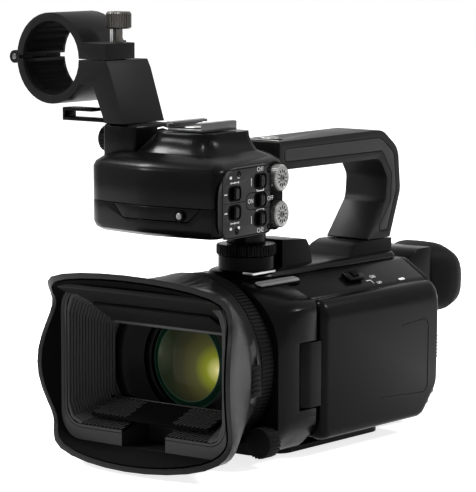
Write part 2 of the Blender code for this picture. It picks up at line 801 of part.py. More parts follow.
# Lens
def make_lens():
    tail = FRONT_Y + BARREL_TAIL_L
    shoulder = FRONT_Y + BARREL_SHOULDER_L
    front = FLANGE_FRONT_Y
    barrel = [
        (BARREL_FLANGE_R, -front),
        (BARREL_FLANGE_R, -FLANGE_REAR_Y),
        (BARREL_NECK_R, -FLANGE_REAR_Y),
        (BARREL_NECK_R, -shoulder),
        (BARREL_TAIL_R, -shoulder),
        (BARREL_TAIL_R, -tail),
        (BARREL_BORE_R, -tail),
        (BARREL_BORE_R, -front),
    ]
    barrel = [(r, -a) for r, a in reversed(barrel)]
    turned("lens_barrel", barrel, (0, 0, LENS_Z), "Y", 64)

    ring = extruded("lens_ring", moved(toothed(RING_R, RING_TEETH, RING_TOOTH), 0, LENS_Z), FLANGE_REAR_Y + GAP,
                    FRONT_Y - GAP, "Y", "rubber")
    bore = cylinder("c", BARREL_NECK_R + GAP, FLANGE_REAR_Y - 5 * MM, FRONT_Y + 5 * MM, (0, LENS_Z), "Y", 64,
                    cutter=True)
    combine(ring, [bore])

    rim = FLANGE_FRONT_Y + GLASS_RECESS
    steps = 7
    dome = []
    for k in range(steps):
        r = GLASS_R * k / (steps - 1)
        dome.append((r, rim - GLASS_BULGE * (1 - (r / GLASS_R) ** 2)))
    lens = dome + [(GLASS_R, rim + GLASS_EDGE), (0, rim + GLASS_EDGE + GLASS_BACK)]
    turned("front_lens", lens, (0, 0, LENS_Z), "Y", 48, "glass")
    holder = [
        (BARREL_BORE_R - GAP, rim - RETAINER_LIP),
        (BARREL_BORE_R - GAP, rim + GLASS_EDGE + 3 * MM),
        (GLASS_R + GAP, rim + GLASS_EDGE + 3 * MM),
        (GLASS_R + GAP, rim - RETAINER_LIP),
    ]
    turned("lens_retainer", holder, (0, 0, LENS_Z), "Y", 48, "dark_grey")

    cell = FRONT_Y + ZOOM_LENS_IN
    edge = BARREL_BORE_R - GAP
    zoom = [
        (0, cell - ZOOM_LENS_BULGE),
        (edge, cell),
        (edge, cell + ZOOM_LENS_T),
        (0, cell + ZOOM_LENS_T + ZOOM_LENS_BULGE),
    ]
    turned("zoom_lens", zoom, (0, 0, LENS_Z), "Y", 40, "glass")
    board_y = tail + GAP
    half = BARREL_BORE_R * 0.77
    board = box("image_sensor", (-half, board_y, LENS_Z - half), (half, board_y + BOARD_T, LENS_Z + half), "board")
    chip = box("c", (-SENSOR_W / 2, board_y - SENSOR_T, LENS_Z - SENSOR_H / 2),
               (SENSOR_W / 2, board_y + BOARD_T / 2, LENS_Z + SENSOR_H / 2), cutter=True)
    combine(board, [chip], "UNION")


# Hood with barrier
def flare_ring(wall):
    """The flared front edge: a visor and a chin with rounded tips, lobes at the sides, notches between."""
    half_w = HOOD_RIM_HALF_W - wall
    half_h = HOOD_RIM_HALF_H - wall
    radius = HOOD_RIM_R - wall
    flat_w = half_w - radius
    flat_h = half_h - radius
    out = []
    for point in matched(half_w, half_h, radius):
        x = point.x
        up = point.y - LENS_Z
        side = math.copysign(1, x)
        above = math.copysign(1, up)
        edge_w = HOOD_VISOR_HALF_W if up > 0 else HOOD_CHIN_HALF_W
        rise = HOOD_VISOR_UP if up > 0 else HOOD_CHIN_DOWN
        crown = HOOD_VISOR_CROWN if up > 0 else HOOD_CHIN_CROWN
        turn = math.atan2(abs(up) - flat_h, abs(x) - flat_w)
        if abs(x) <= flat_w + 1e-6:
            share = abs(x) / flat_w
            spot = (side * share * (edge_w - wall), above * (half_h + rise - crown * share ** 2))
            reach = HOOD_LIP_REACH + (HOOD_TIP_REACH - HOOD_LIP_REACH) * share ** 2
        elif abs(up) <= flat_h + 1e-6:
            share = 1 - (abs(up) / flat_h) ** 2
            spot = (side * (half_w + HOOD_NOTCH_OUT + (HOOD_LOBE_OUT - HOOD_NOTCH_OUT) * share), up)
            reach = HOOD_NOTCH_REACH + (HOOD_LOBE_REACH - HOOD_NOTCH_REACH) * share
        else:
            share = max(0.0, (turn / (math.pi / 2) - 0.25) / 0.75)
            notch_z = flat_h + radius * math.sin(turn) * 0.55
            tip_z = half_h + rise - crown
            ease = share ** 2
            spot = (side * (half_w + HOOD_NOTCH_OUT + (edge_w - wall - half_w - HOOD_NOTCH_OUT) * ease),
                    above * (notch_z + (tip_z - notch_z) * ease))
            reach = HOOD_NOTCH_REACH + (HOOD_TIP_REACH - HOOD_NOTCH_REACH) * ease
        out.append(Vector((spot[0], RIM_Y - reach, LENS_Z + spot[1])))
    for _ in range(HOOD_TIP_PASSES):
        before = out[-1:] + out[:-1]
        after = out[1:] + out[:1]
        out = [(a + 2 * b + c) / 4 for a, b, c in zip(before, out, after)]
    return out


def make_hood():
    step = HOOD_FLARE_WALL
    wall = BAFFLE_WALL
    fit = BAFFLE_WALL + GAP
    bore_r = BARREL_FLANGE_R + GAP
    seat = FLANGE_FRONT_Y - GAP
    rings = [
        at_y(circle(bore_r + HOOD_REAR_WALL), HOOD_REAR_Y),
        at_y(matched(HOOD_MID_HALF_W, HOOD_MID_HALF_H, HOOD_MID_R), HOOD_REAR_Y - HOOD_MID_L),
        at_y(matched(HOOD_RIM_HALF_W, HOOD_RIM_HALF_H, HOOD_RIM_R), RIM_Y + 3 * MM),
        flare_ring(0),
        flare_ring(step),
        at_y(matched(HOOD_RIM_HALF_W - step, HOOD_RIM_HALF_H - step, HOOD_RIM_R - step), RIM_Y),
        at_y(lifted(matched(MOUTH_HALF_W + fit, MOUTH_HALF_H + fit, MOUTH_R + fit)), RIM_Y),
        at_y(matched(WINDOW_HALF_W + fit, WINDOW_HALF_H + fit, WINDOW_R + fit), WINDOW_Y),
        at_y(circle(bore_r), seat),
        at_y(circle(bore_r), HOOD_REAR_Y),
    ]
    hood = skinned("hood_shell", rings, "dark_grey", closed=True)
    slot_half = LEVER_H / 2 + LEVER_TRAVEL
    lever_y = HOOD_REAR_Y - 9 * MM
    slot = box("c", (LEVER_FLOOR_X, lever_y - LEVER_W / 2 - SLIDE_GAP, LENS_Z - slot_half),
               (LEVER_FLOOR_X + 30 * MM, lever_y + LEVER_W / 2 + SLIDE_GAP, LENS_Z + slot_half), cutter=True)

    def trench():
        return box("c", (-TRENCH_HALF_W, RIM_Y - 20 * MM, LENS_Z - TRENCH_DOWN),
                   (TRENCH_HALF_W, WINDOW_Y - 3 * MM, LENS_Z - WINDOW_HALF_H), cutter=True)

    combine(hood, [slot, trench()])

    lever_low = LENS_Z - LEVER_H / 2 - LEVER_TRAVEL / 2
    lever = box("barrier_lever", (LEVER_FLOOR_X + GAP, lever_y - LEVER_W / 2, lever_low),
                (LEVER_FLOOR_X + GAP + LEVER_T, lever_y + LEVER_W / 2, lever_low + LEVER_H), "rubber")
    bevelled(lever, 0.8 * MM)

    rings = [
        at_y(lifted(matched(MOUTH_HALF_W + wall, MOUTH_HALF_H + wall, MOUTH_R + wall)), RIM_Y),
        at_y(lifted(matched(MOUTH_HALF_W, MOUTH_HALF_H, MOUTH_R)), RIM_Y),
        at_y(matched(WINDOW_HALF_W, WINDOW_HALF_H, WINDOW_R), WINDOW_Y),
        at_y(matched(WINDOW_HALF_W + wall, WINDOW_HALF_H + wall, WINDOW_R + wall), WINDOW_Y),
    ]
    baffle = skinned("hood_baffle", rings, "rubber", closed=True)
    combine(baffle, [trench()])

    length = WINDOW_HALF_H - BLADE_HINGE_IN - BLADE_MEET_GAP / 2
    for name, sign, mouth in (("upper_blade", 1, MOUTH_HALF_H * MOUTH_LIFT), ("lower_blade", -1, MOUTH_HALF_H)):
        slope = math.atan2(mouth - WINDOW_HALF_H, WINDOW_DEPTH)
        hinge_y = WINDOW_Y - BLADE_HINGE_FORWARD
        hinge_z = LENS_Z + sign * (WINDOW_HALF_H - BLADE_HINGE_IN)
        blade = box(name, (-BLADE_HALF_W, -length, -BLADE_T / 2), (BLADE_HALF_W, 0.6 * MM, BLADE_T / 2))
        reach = WINDOW_HALF_W + (MOUTH_HALF_W - WINDOW_HALF_W) * BLADE_HINGE_FORWARD / WINDOW_DEPTH - 2 * GAP
        pin = cylinder("c", BLADE_PIN_R, -reach, reach, (0, 0), "X", 16, cutter=True)
        blade = combine(blade, [pin], "UNION")
        turn = Matrix.Rotation(-sign * slope, 4, "X")
        blade.data.transform(Matrix.Translation((0, hinge_y, hinge_z)) @ turn)


# Monitor
def panel_corners(share):
    """Panel outline in Y and Z, drawn in by a share of its edge rounding."""
    trim = PANEL_EDGE * share
    top = PANEL_TOP_Z - PANEL_TOP_ROUND * share
    front = PANEL_FRONT_Y + trim
    rear = PANEL_FRONT_Y + PANEL_L - trim
    low = PANEL_LOW_Z + trim
    return [
        (front, low, 4 * MM),
        (rear - 13 * MM, low, 8 * MM),
        (rear - 1 * MM, low + 13 * MM, 10 * MM),
        (rear, top, 5 * MM),
        (front, top, 4 * MM),
    ]


def make_monitor():
    low = HINGE_LOW_Z
    high = HINGE_LOW_Z + HINGE_H
    arm_in = PANEL_IN_X + 1 * MM
    arm_out = HINGE_X + HINGE_R - 0.6 * MM
    arm_rear = PANEL_FRONT_Y - GAP
    arm = box("monitor_hinge", (arm_in, HINGE_Y, low + GAP), (arm_out, arm_rear, high - GAP), "dark_grey")
    knuckle = cylinder("c", HINGE_R - 0.6 * MM, low + GAP, high - GAP, (HINGE_X, HINGE_Y), "Z", 32, cutter=True)
    arm = combine(arm, [knuckle], "UNION")
    bore = cylinder("c", HINGE_PIN_R + GAP, low - 5 * MM, high + 5 * MM, (HINGE_X, HINGE_Y), "Z", 20, cutter=True)
    combine(arm, [bore])

    bezel_top = PANEL_IN_X + PANEL_BEZEL_T
    rings = [at_x(rounded(panel_corners(0)), bezel_top + GAP)]
    for k in range(PANEL_ROUND_STEPS + 1):
        turn = math.pi / 2 * k / PANEL_ROUND_STEPS
        x = PANEL_OUT_X - PANEL_ROUND * (1 - math.sin(turn))
        rings.append(at_x(rounded(panel_corners(1 - math.cos(turn))), x))
    skinned("monitor_cover", rings, "dark_grey")
    bezel_outline = rounded(inset(panel_corners(0), 0.6 * MM))
    bezel = extruded("monitor_bezel", bezel_outline, PANEL_IN_X, bezel_top, "X", "rubber")
    mid_y = PANEL_FRONT_Y + PANEL_L / 2 - 3 * MM
    mid_z = (PANEL_LOW_Z + PANEL_TOP_Z) / 2
    depth = SCREEN_T + 2 * GAP
    pocket = box("c", (PANEL_IN_X - 5 * MM, mid_y - SCREEN_L / 2 - GAP, mid_z - SCREEN_H / 2 - GAP),
                 (PANEL_IN_X + depth, mid_y + SCREEN_L / 2 + GAP, mid_z + SCREEN_H / 2 + GAP), cutter=True)
    combine(bezel, [pocket])
    box("monitor_screen", (PANEL_IN_X + GAP, mid_y - SCREEN_L / 2, mid_z - SCREEN_H / 2),
        (PANEL_IN_X + GAP + SCREEN_T, mid_y + SCREEN_L / 2, mid_z + SCREEN_H / 2), "window")


# Controls on the body
def make_body_controls():
    outline = moved(toothed(DIAL_R, 24, 0.5 * MM), DIAL_X, DIAL_Z)
    extruded("custom_dial", outline, FRONT_Y - GAP - DIAL_L, FRONT_Y - GAP, "Y", "rubber")

    slope = math.atan2(BODY_TOP_Z - BODY_EDGE_Z, BODY_LEFT_X - BODY_TOP_HALF)
    mid = Vector(((BODY_TOP_HALF + BODY_LEFT_X) / 2, 30 * MM, (BODY_TOP_Z + BODY_EDGE_Z) / 2))
    switch = box("mode_switch", (-MODE_W / 2, -MODE_L / 2, GAP), (MODE_W / 2, MODE_L / 2, GAP + MODE_T), "dark_grey")
    switch.data.transform(Matrix.Translation(mid) @ Matrix.Rotation(slope, 4, "Y"))
    bevelled(switch, 0.6 * MM)

    button_low = REAR_Y + GAP + REC_FLOOR + GAP + REC_TRAVEL
    button_top = REAR_FACE_Y + REC_PROUD
    button = cylinder("record_button", REC_R, button_low, button_top, (REC_X, REC_Z), "Y", 32, "red")
    bevelled(button, 0.7 * MM)

    top = BODY_TOP_Z + GAP
    y = 34 * MM
    half = ROCKER_L / 2
    outline = [
        (y, top),
        (y + half, top + ROCKER_RISE),
        (y + half, top + ROCKER_T),
        (y, top + ROCKER_T - 0.8 * MM),
        (y - half, top + ROCKER_T),
        (y - half, top + ROCKER_RISE),
    ]
    rocker_in = COVER_HALF_W + 2.0 * MM
    extruded("zoom_rocker", outline, -rocker_in - ROCKER_W, -rocker_in, "X", "dark_grey")


# Top cover, grille and strap
def make_top():
    low = BODY_TOP_Z + GAP
    rear = REAR_Y - 1 * MM
    front = FRONT_Y + 13 * MM
    corners = [
        (-COVER_HALF_W, front, 14 * MM),
        (COVER_HALF_W, front, 14 * MM),
        (COVER_HALF_W, rear, 5 * MM),
        (-COVER_HALF_W, rear, 5 * MM),
    ]
    rings = [
        at_z(rounded(corners), low),
        at_z(rounded(corners), low + 0.8 * MM),
        at_z(rounded(inset(corners, 1.0 * MM)), COVER_TOP_Z - 0.7 * MM),
        at_z(rounded(inset(corners, 2.6 * MM)), COVER_TOP_Z),
    ]
    cover = skinned("top_cover", rings)
    collar = cylinder("c", COLLAR_R, low + 1 * MM, COLLAR_TOP_Z, (0, COLLAR_Y), "Z", 40, cutter=True)
    outline = [
        (rear - 38 * MM, low + 1 * MM),
        (rear - 0.5 * MM, low + 1 * MM),
        (rear - 0.5 * MM, COLLAR_TOP_Z),
        (rear - 24 * MM, COLLAR_TOP_Z),
        (rear - 30 * MM, COLLAR_TOP_Z - 2 * MM),
    ]
    foot = extruded("c", outline, -FOOT_HALF_W, FOOT_HALF_W, "X", cutter=True)
    plinth_front = COLLAR_Y + WHEEL_R + 2 * GAP
    outline = [
        (plinth_front, low + 1 * MM),
        (plinth_front + PLINTH_L, low + 1 * MM),
        (plinth_front + PLINTH_L - 2 * MM, COLLAR_TOP_Z + 1 * MM),
        (plinth_front + PLINTH_L - 5 * MM, COLLAR_TOP_Z + PLINTH_UP - 1.2 * MM),
        (plinth_front, COLLAR_TOP_Z + PLINTH_UP),
    ]
    plinth = extruded("c", outline, -PLINTH_HALF_W, PLINTH_HALF_W, "X", cutter=True)
    combine(cover, [collar, foot, plinth], "UNION")

    slope = math.atan2(BODY_TOP_Z - BODY_EDGE_Z, SHOULDER_X - BODY_TOP_HALF)
    back = FRONT_Y + FRONT_SHELL_L
    mid = Vector((BODY_TOP_HALF + GRILLE_SHARE * (SHOULDER_X - BODY_TOP_HALF), back - GRILLE_L / 2,
                  BODY_TOP_Z - GRILLE_SHARE * (BODY_TOP_Z - BODY_EDGE_Z)))
    grille = box("mic_grille", (-GRILLE_W / 2, -GRILLE_L / 2, GAP), (GRILLE_W / 2, GRILLE_L / 2, GAP + GRILLE_T),
                 "mesh_grey")
    grille.data.transform(Matrix.Translation(mid) @ Matrix.Rotation(slope, 4, "Y"))


def make_strap():
    """A padded hand strap that bows out from the grip side, thickest at its middle."""
    front = SHELL_FRONT_Y + STRAP_FRONT_IN
    rear = REAR_Y - STRAP_REAR_IN
    side = -BODY_RIGHT_X - GAP
    across = rear - front
    count = 24
    around = 16
    rings = []
    for i in range(count + 1):
        share = i / count
        y = front + across * share
        swell = math.sin(math.pi * share)
        height = STRAP_END_H + (STRAP_H - STRAP_END_H) * swell
        thick = STRAP_T * (0.7 + 0.5 * swell)
        out = side - thick / 2 + STRAP_END_TUCK - STRAP_BOW * swell ** 0.8
        slope = -STRAP_BOW * 0.8 * math.cos(math.pi * share) * math.pi / across * max(swell, 0.25) ** -0.2
        along = Vector((slope, 1)).normalized()
        normal = Vector((along.y, -along.x))
        ring = []
        for k in range(around):
            turn = 2 * math.pi * k / around
            c = math.cos(turn)
            s = math.sin(turn)
            a = thick / 2 * math.copysign(abs(c) ** 0.7, c)
            b = height / 2 * math.copysign(abs(s) ** 0.6, s)
            ring.append((out + normal.x * a, y + normal.y * a, STRAP_Z + b))
        rings.append(ring)
    skinned("hand_strap", rings, "webbing")


# Viewfinder and battery
def make_rear():
    pivot = REAR_FACE_Y + EVF_PIVOT_BACK
    rear = pivot + EVF_L
    outline = [(rear, EVF_Z - EVF_R), (rear, EVF_Z + EVF_R)]
    for k in range(25):
        turn = math.pi * (0.5 + k / 24)
        outline.append((pivot + EVF_R * math.cos(turn), EVF_Z + EVF_R * math.sin(turn)))
    body = extruded("evf_housing", outline, -EVF_HALF_W, EVF_HALF_W, "X", "dark_grey")
    wall = EVF_WALL
    room = box("c", (-EVF_HALF_W + wall, pivot, EVF_Z - EVF_R + wall),
               (EVF_HALF_W - wall, rear + 5 * MM, EVF_Z + EVF_R - wall), cutter=True)
    combine(body, [room])
    half = EVF_R - wall - GAP
    box("eyepiece_glass", (-EVF_HALF_W + wall + GAP, rear - 4 * MM, EVF_Z - half),
        (EVF_HALF_W - wall - GAP, rear - 4 * MM + EVF_GLASS_T, EVF_Z + half), "glass")

    start = rear + GAP
    back = start + CUP_L

    def oval(half_w, half_h, z, y):
        points = []
        for k in range(32):
            turn = 2 * math.pi * k / 32
            c = math.cos(turn)
            s = math.sin(turn)
            points.append((half_w * math.copysign(abs(c) ** 0.7, c), y, z + half_h * math.copysign(abs(s) ** 0.7, s)))
        return points

    drop = EVF_Z - CUP_DROP
    middle = (EVF_Z + drop) / 2
    spans = [
        (0.0, EVF_HALF_W, EVF_R, EVF_Z),
        (0.35, CUP_HALF_W * 0.94, CUP_HALF_H * 0.97, middle),
        (0.6, CUP_HALF_W, CUP_HALF_H, drop),
        (0.85, CUP_HALF_W - 1.6 * MM, CUP_HALF_H - 2.2 * MM, drop - 0.5 * MM),
        (1.0, CUP_HALF_W - 4.5 * MM, CUP_HALF_H - 5 * MM, drop - 1 * MM),
    ]
    rings = [oval(w, h, z, start + CUP_L * share) for share, w, h, z in spans]
    rings += [oval(w - CUP_WALL, h - CUP_WALL, z, start + CUP_L * share) for share, w, h, z in reversed(spans)]
    skinned("eyecup", rings, "rubber", closed=True)

    near = REAR_FACE_Y + GAP
    battery = box("battery", (-BATTERY_W / 2 - 4 * MM, near, BATTERY_Z),
                  (BATTERY_W / 2 - 4 * MM, near + BATTERY_L, BATTERY_Z + BATTERY_H), "black_body")
    bevelled(battery, 2 * MM)
    latch_z = BATTERY_Z + BATTERY_H + 2 * MM
    latch = box("battery_latch", (LATCH_X, near, latch_z),
                (LATCH_X + LATCH_W, near + LATCH_T, latch_z + LATCH_H), "dark_grey")
    bevelled(latch, 0.5 * MM)


# Audio block
PANEL_A = Vector((PANEL_A_X, PANEL_A_Y))
PANEL_B = Vector((PANEL_B_X, PANEL_B_Y))


def audio_corners():
    return [
        (AUDIO_SIDE_X, AUDIO_SIDE_FRONT_Y, 16 * MM),
        (AUDIO_CORNER_X, AUDIO_CORNER_Y, 12 * MM),
        (AUDIO_MID_X, AUDIO_NOSE_Y, 40 * MM),
        (PANEL_A.x, PANEL_A.y, 4 * MM),
        (PANEL_B.x, PANEL_B.y, 3 * MM),
        (AUDIO_HEEL_X, COLLAR_Y + BOSS_R, 5 * MM),
        (AUDIO_REAR_X, COLLAR_Y + BOSS_R, 10 * MM),
        (AUDIO_SIDE_REAR_X, AUDIO_SIDE_REAR_Y, 12 * MM),
    ]


def panel_frame():
    """Local axes of the control panel: along its length, up, and out of its face."""
    along = (PANEL_B - PANEL_A).normalized()
    out = Vector((along.y, -along.x))
    columns = (Vector((along.x, along.y, 0)), Vector((0, 0, 1)), Vector((out.x, out.y, 0)))
    frame = Matrix.Identity(4)
    for i, column in enumerate(columns):
        for j in range(3):
            frame[j][i] = column[j]
    return Matrix.Translation((PANEL_A.x, PANEL_A.y, 0)) @ frame


SWITCHES = {
    "input_switch_one": (11 * MM, 0.645),
    "input_switch_two": (11 * MM, 0.378),
    "level_switch_one": (32 * MM, 0.769),
    "sound_switch": (32 * MM, 0.498),
    "level_switch_two": (32 * MM, 0.228),
}


def make_audio():
    count = 72
    middle = (AUDIO_MID_X, AUDIO_MID_Y)
    corners = audio_corners()
    full = radial(rounded(corners), middle, count)
    slim = radial(rounded(inset(corners, 1.2 * MM)), middle, count)
    soft = radial(rounded(inset(corners, 5 * MM)), middle, count)
    keel = radial(rounded(inset(corners, 4 * MM)), middle, count)
    table_corners = [
        (TABLE_RIGHT_X, TABLE_REAR_Y, 5 * MM),
        (TABLE_RIGHT_X, TABLE_FRONT_Y, 8 * MM),
        (TABLE_LEFT_X, TABLE_FRONT_Y, 8 * MM),
        (TABLE_LEFT_X, TABLE_REAR_Y, 5 * MM),
    ]
    table = radial(rounded(table_corners), middle, count)
    between = [p.lerp(q, 0.62) for p, q in zip(soft, table)]

    rings = [
        at_z(keel, AUDIO_Z),
        at_z(slim, AUDIO_Z + LOWER_ROUND * 0.4),
        at_z(full, AUDIO_Z + LOWER_ROUND),
        at_z(full, SEAM_Z),
    ]
    lower = skinned("audio_lower", rings)
    boss = cylinder("c", BOSS_R, BOSS_Z, AUDIO_Z + 1 * MM, (0, COLLAR_Y), "Z", 32, cutter=True)
    lower = combine(lower, [boss], "UNION")
    rings = [
        at_z(full, UPPER_Z),
        at_z(full, SHOULDER_Z - 2 * MM),
        at_z(slim, SHOULDER_Z + 0.2 * MM),
        at_z(soft, SHOULDER_Z + 2.5 * MM),
        at_z(between, SHOULDER_Z + 4.8 * MM),
        at_z(table, PLATEAU_Z),
    ]
    upper = skinned("audio_upper", rings)
    top_half = LAMP_W / 2
    low_half = top_half - LAMP_TAPER
    lamp_corners = [
        (LAMP_X - low_half, SEAM_Z - LAMP_H, LAMP_ROUND),
        (LAMP_X + low_half, SEAM_Z - LAMP_H, LAMP_ROUND),
        (LAMP_X + top_half, SEAM_Z, 0),
        (LAMP_X + top_half, SEAM_Z + LAMP_H, 0),
        (LAMP_X - top_half, SEAM_Z + LAMP_H, 0),
        (LAMP_X - top_half, SEAM_Z, 0),
    ]
    lamp_back = AUDIO_NOSE_Y + LAMP_IN + 1.5 * MM
    ahead = AUDIO_NOSE_Y - 100 * MM
    lamp = skinned("lamp_window", [at_z(full, AUDIO_Z + LOWER_ROUND), at_z(full, SEAM_Z)], "window")
    keep = extruded("c", rounded(inset(lamp_corners, GAP)), ahead, lamp_back - GAP, "Y", cutter=True)
    combine(lamp, [keep], "INTERSECT")
    room = extruded("c", rounded(lamp_corners), ahead, lamp_back, "Y", cutter=True)

    sockets = []
    xlr_z = SEAM_Z + XLR_UP
    face_x = XLR_FACE_X
    for name, y in (("sound_socket_one", XLR_FRONT_Y), ("sound_socket_two", XLR_FRONT_Y + XLR_PITCH)):
        profile = [
            (XLR_R, face_x),
            (XLR_R, face_x + XLR_L),
            (0, face_x + XLR_L),
            (0, face_x + XLR_DEPTH),
            (XLR_BORE_R, face_x + XLR_DEPTH),
            (XLR_BORE_R, face_x),
        ]
        turned(name, profile, (0, y, xlr_z), "X", 32, "dark_grey")
        sockets.append(y)

    def bores():
        return [cylinder("c", XLR_R + GAP, 2 * face_x, face_x + XLR_L + GAP, (y, xlr_z), "X", 32, cutter=True)
                for y in sockets]

    lower = combine(lower, [room] + bores())
    mic_low = SHOULDER_Z + GAP
    mic_in = MIC_BASE_X
    mic_y = MIC_FRONT_Y + 2 * MM
    seat = box("c", (2 * AUDIO_SIDE_X, mic_y - GAP, mic_low - GAP),
               (mic_in + GAP, mic_y + MIC_BASE_L + GAP, PLATEAU_Z + 50 * MM), cutter=True)
    combine(upper, bores() + [seat])
    base = box("mic_base", (mic_in - MIC_BASE_W, mic_y, mic_low),
               (mic_in, mic_y + MIC_BASE_L, mic_low + MIC_BASE_H))
    bevelled(base, 1.5 * MM)
    knob_y = mic_y + MIC_BASE_L / 2
    knob_z = mic_low + MIC_BASE_H * 0.5
    outline = moved(toothed(MIC_KNOB_R, 20, 0.5 * MM), knob_y, knob_z)
    knob_x = mic_in - MIC_BASE_W - GAP
    extruded("mic_side_knob", outline, knob_x - MIC_KNOB_L, knob_x, "X", "rubber")

    frame = panel_frame()
    plate_low = AUDIO_Z + PANEL_PLATE_LIFT
    plate_corners = [
        (PANEL_PLATE_START, plate_low, 7 * MM),
        (PANEL_PLATE_START + PANEL_PLATE_L, plate_low, 3 * MM),
        (PANEL_PLATE_START + PANEL_PLATE_L, plate_low + PANEL_PLATE_H, 3 * MM),
        (PANEL_PLATE_START, plate_low + PANEL_PLATE_H, 13 * MM),
    ]
    plate = extruded("control_panel", rounded(plate_corners), GAP, GAP + PANEL_PLATE_T, "Z", "dark_grey")
    plate = bevelled(plate, 0.5 * MM)
    face = GAP + PANEL_PLATE_T
    cuts = []
    for name, (u, share) in SWITCHES.items():
        z = plate_low + PANEL_PLATE_H * share
        half_l = KNOB_L / 2 + KNOB_TRAVEL + SLIDE_GAP
        half_h = KNOB_H / 2 + SLIDE_GAP
        cuts.append(box("c", (u - half_l, z - half_h, face - PANEL_POCKET),
                        (u + half_l, z + half_h, face + 5 * MM), cutter=True))
        knob = box(name, (u - KNOB_L / 2, z - KNOB_H / 2, face - PANEL_POCKET + GAP),
                   (u + KNOB_L / 2, z + KNOB_H / 2, face - PANEL_POCKET + GAP + KNOB_T), "rubber")
        knob = bevelled(knob, 0.4 * MM)
        knob.data.transform(frame)
    plate = combine(plate, cuts)
    plate.data.transform(frame)
    dial_u = PANEL_PLATE_START + PANEL_PLATE_L + GAP + LEVEL_R
    for name, share in (("level_dial_one", 0.775), ("level_dial_two", 0.248)):
        z = plate_low + PANEL_PLATE_H * share
        outline = moved(toothed(LEVEL_R, LEVEL_TEETH, 0.35 * MM), dial_u, z)
        dial = extruded(name, outline, GAP, GAP + LEVEL_T, "Z", "silver")
        dial.data.transform(frame)

    half = SHOE_W / 2
    sheet = SHOE_SHEET
    outline = [
        (-half, 0),
        (half, 0),
        (half, SHOE_H),
        (half - SHOE_LIP - sheet, SHOE_H),
        (half - SHOE_LIP - sheet, SHOE_H - sheet),
        (half - sheet, SHOE_H - sheet),
        (half - sheet, sheet),
        (-half + sheet, sheet),
        (-half + sheet, SHOE_H - sheet),
        (-half + SHOE_LIP + sheet, SHOE_H - sheet),
        (-half + SHOE_LIP + sheet, SHOE_H),
        (-half, SHOE_H),
    ]
    extruded("accessory_shoe", moved(outline, SHOE_X, PLATEAU_Z + GAP), SHOE_Y - SHOE_L / 2, SHOE_Y + SHOE_L / 2,
             "Y", "silver")

    wheel = moved(toothed(WHEEL_R, WHEEL_TEETH, WHEEL_TOOTH), 0, COLLAR_Y)
    extruded("lock_wheel", wheel, WHEEL_Z, WHEEL_Z + WHEEL_H, "Z", "dark_grey")


# Handle
def handle_corners():
    front = COLLAR_Y + BOSS_R + GAP
    low = SHOULDER_Z - 6 * MM
    foot = COLLAR_TOP_Z + GAP
    rear = REAR_Y
    return [
        (front, low, 1 * MM),
        (rear - 10 * MM, low, 7 * MM),
        (rear - 4 * MM, low - 9 * MM, 6 * MM),
        (rear - 5 * MM, low - 20 * MM, 8 * MM),
        (rear - 20 * MM, foot, 0.5 * MM),
        (rear - 1.5 * MM, foot, 0.5 * MM),
        (rear + 7 * MM, low - 16 * MM, 10 * MM),
        (rear + 5 * MM, low + 4 * MM, 10 * MM),
        (rear - 8 * MM, low + HANDLE_BAR_H + 0.5 * MM, 12 * MM),
        (front, low + HANDLE_BAR_H, 1 * MM),
    ]


def make_handle():
    corners = handle_corners()
    grip = extruded("handle", rounded(corners), -HANDLE_HALF_W, HANDLE_HALF_W, "X")
    grip = bevelled(grip, HANDLE_EDGE, 3, 50)
    inner = [
        (a, b, max(r, 2 * MM)) for a, b, r in inset(corners, INLAY_IN)
    ]
    room = rounded(inner)
    fill = rounded([(a, b, r) for a, b, r in inset(inner, GAP)])
    cuts = []
    for side, sign in (("left", 1), ("right", -1)):
        out = HANDLE_HALF_W
        floor = out - INLAY_T
        low, high = sorted((sign * floor, sign * (out + 5 * MM)))
        cuts.append(extruded("c", room, low, high, "X", cutter=True))
        low, high = sorted((sign * (floor + GAP), sign * (out + 0.2 * MM)))
        extruded(f"handle_inlay_{side}", fill, low, high, "X", "grip_grey")
    top = SHOULDER_Z - 6 * MM + HANDLE_BAR_H
    y = 0
    button_floor = top - 3.5 * MM
    cuts.append(cylinder("c", HANDLE_BUTTON_R + GAP, button_floor, top + 10 * MM, (0, y), "Z", 32, cutter=True))
    combine(grip, cuts)
    low = button_floor + GAP + HANDLE_BUTTON_TRAVEL
    button = cylinder("handle_button", HANDLE_BUTTON_R, low, top + 1.2 * MM, (0, y), "Z", 32, "red")
    bevelled(button, 0.5 * MM)


# Microphone holder
def arc(radius, first, last, steps):
    out = []
    for k in range(steps + 1):
        turn = math.radians(first + (last - first) * k / steps)
        out.append((MIC_X + radius * math.cos(turn), MIC_Z + radius * math.sin(turn)))
    return out


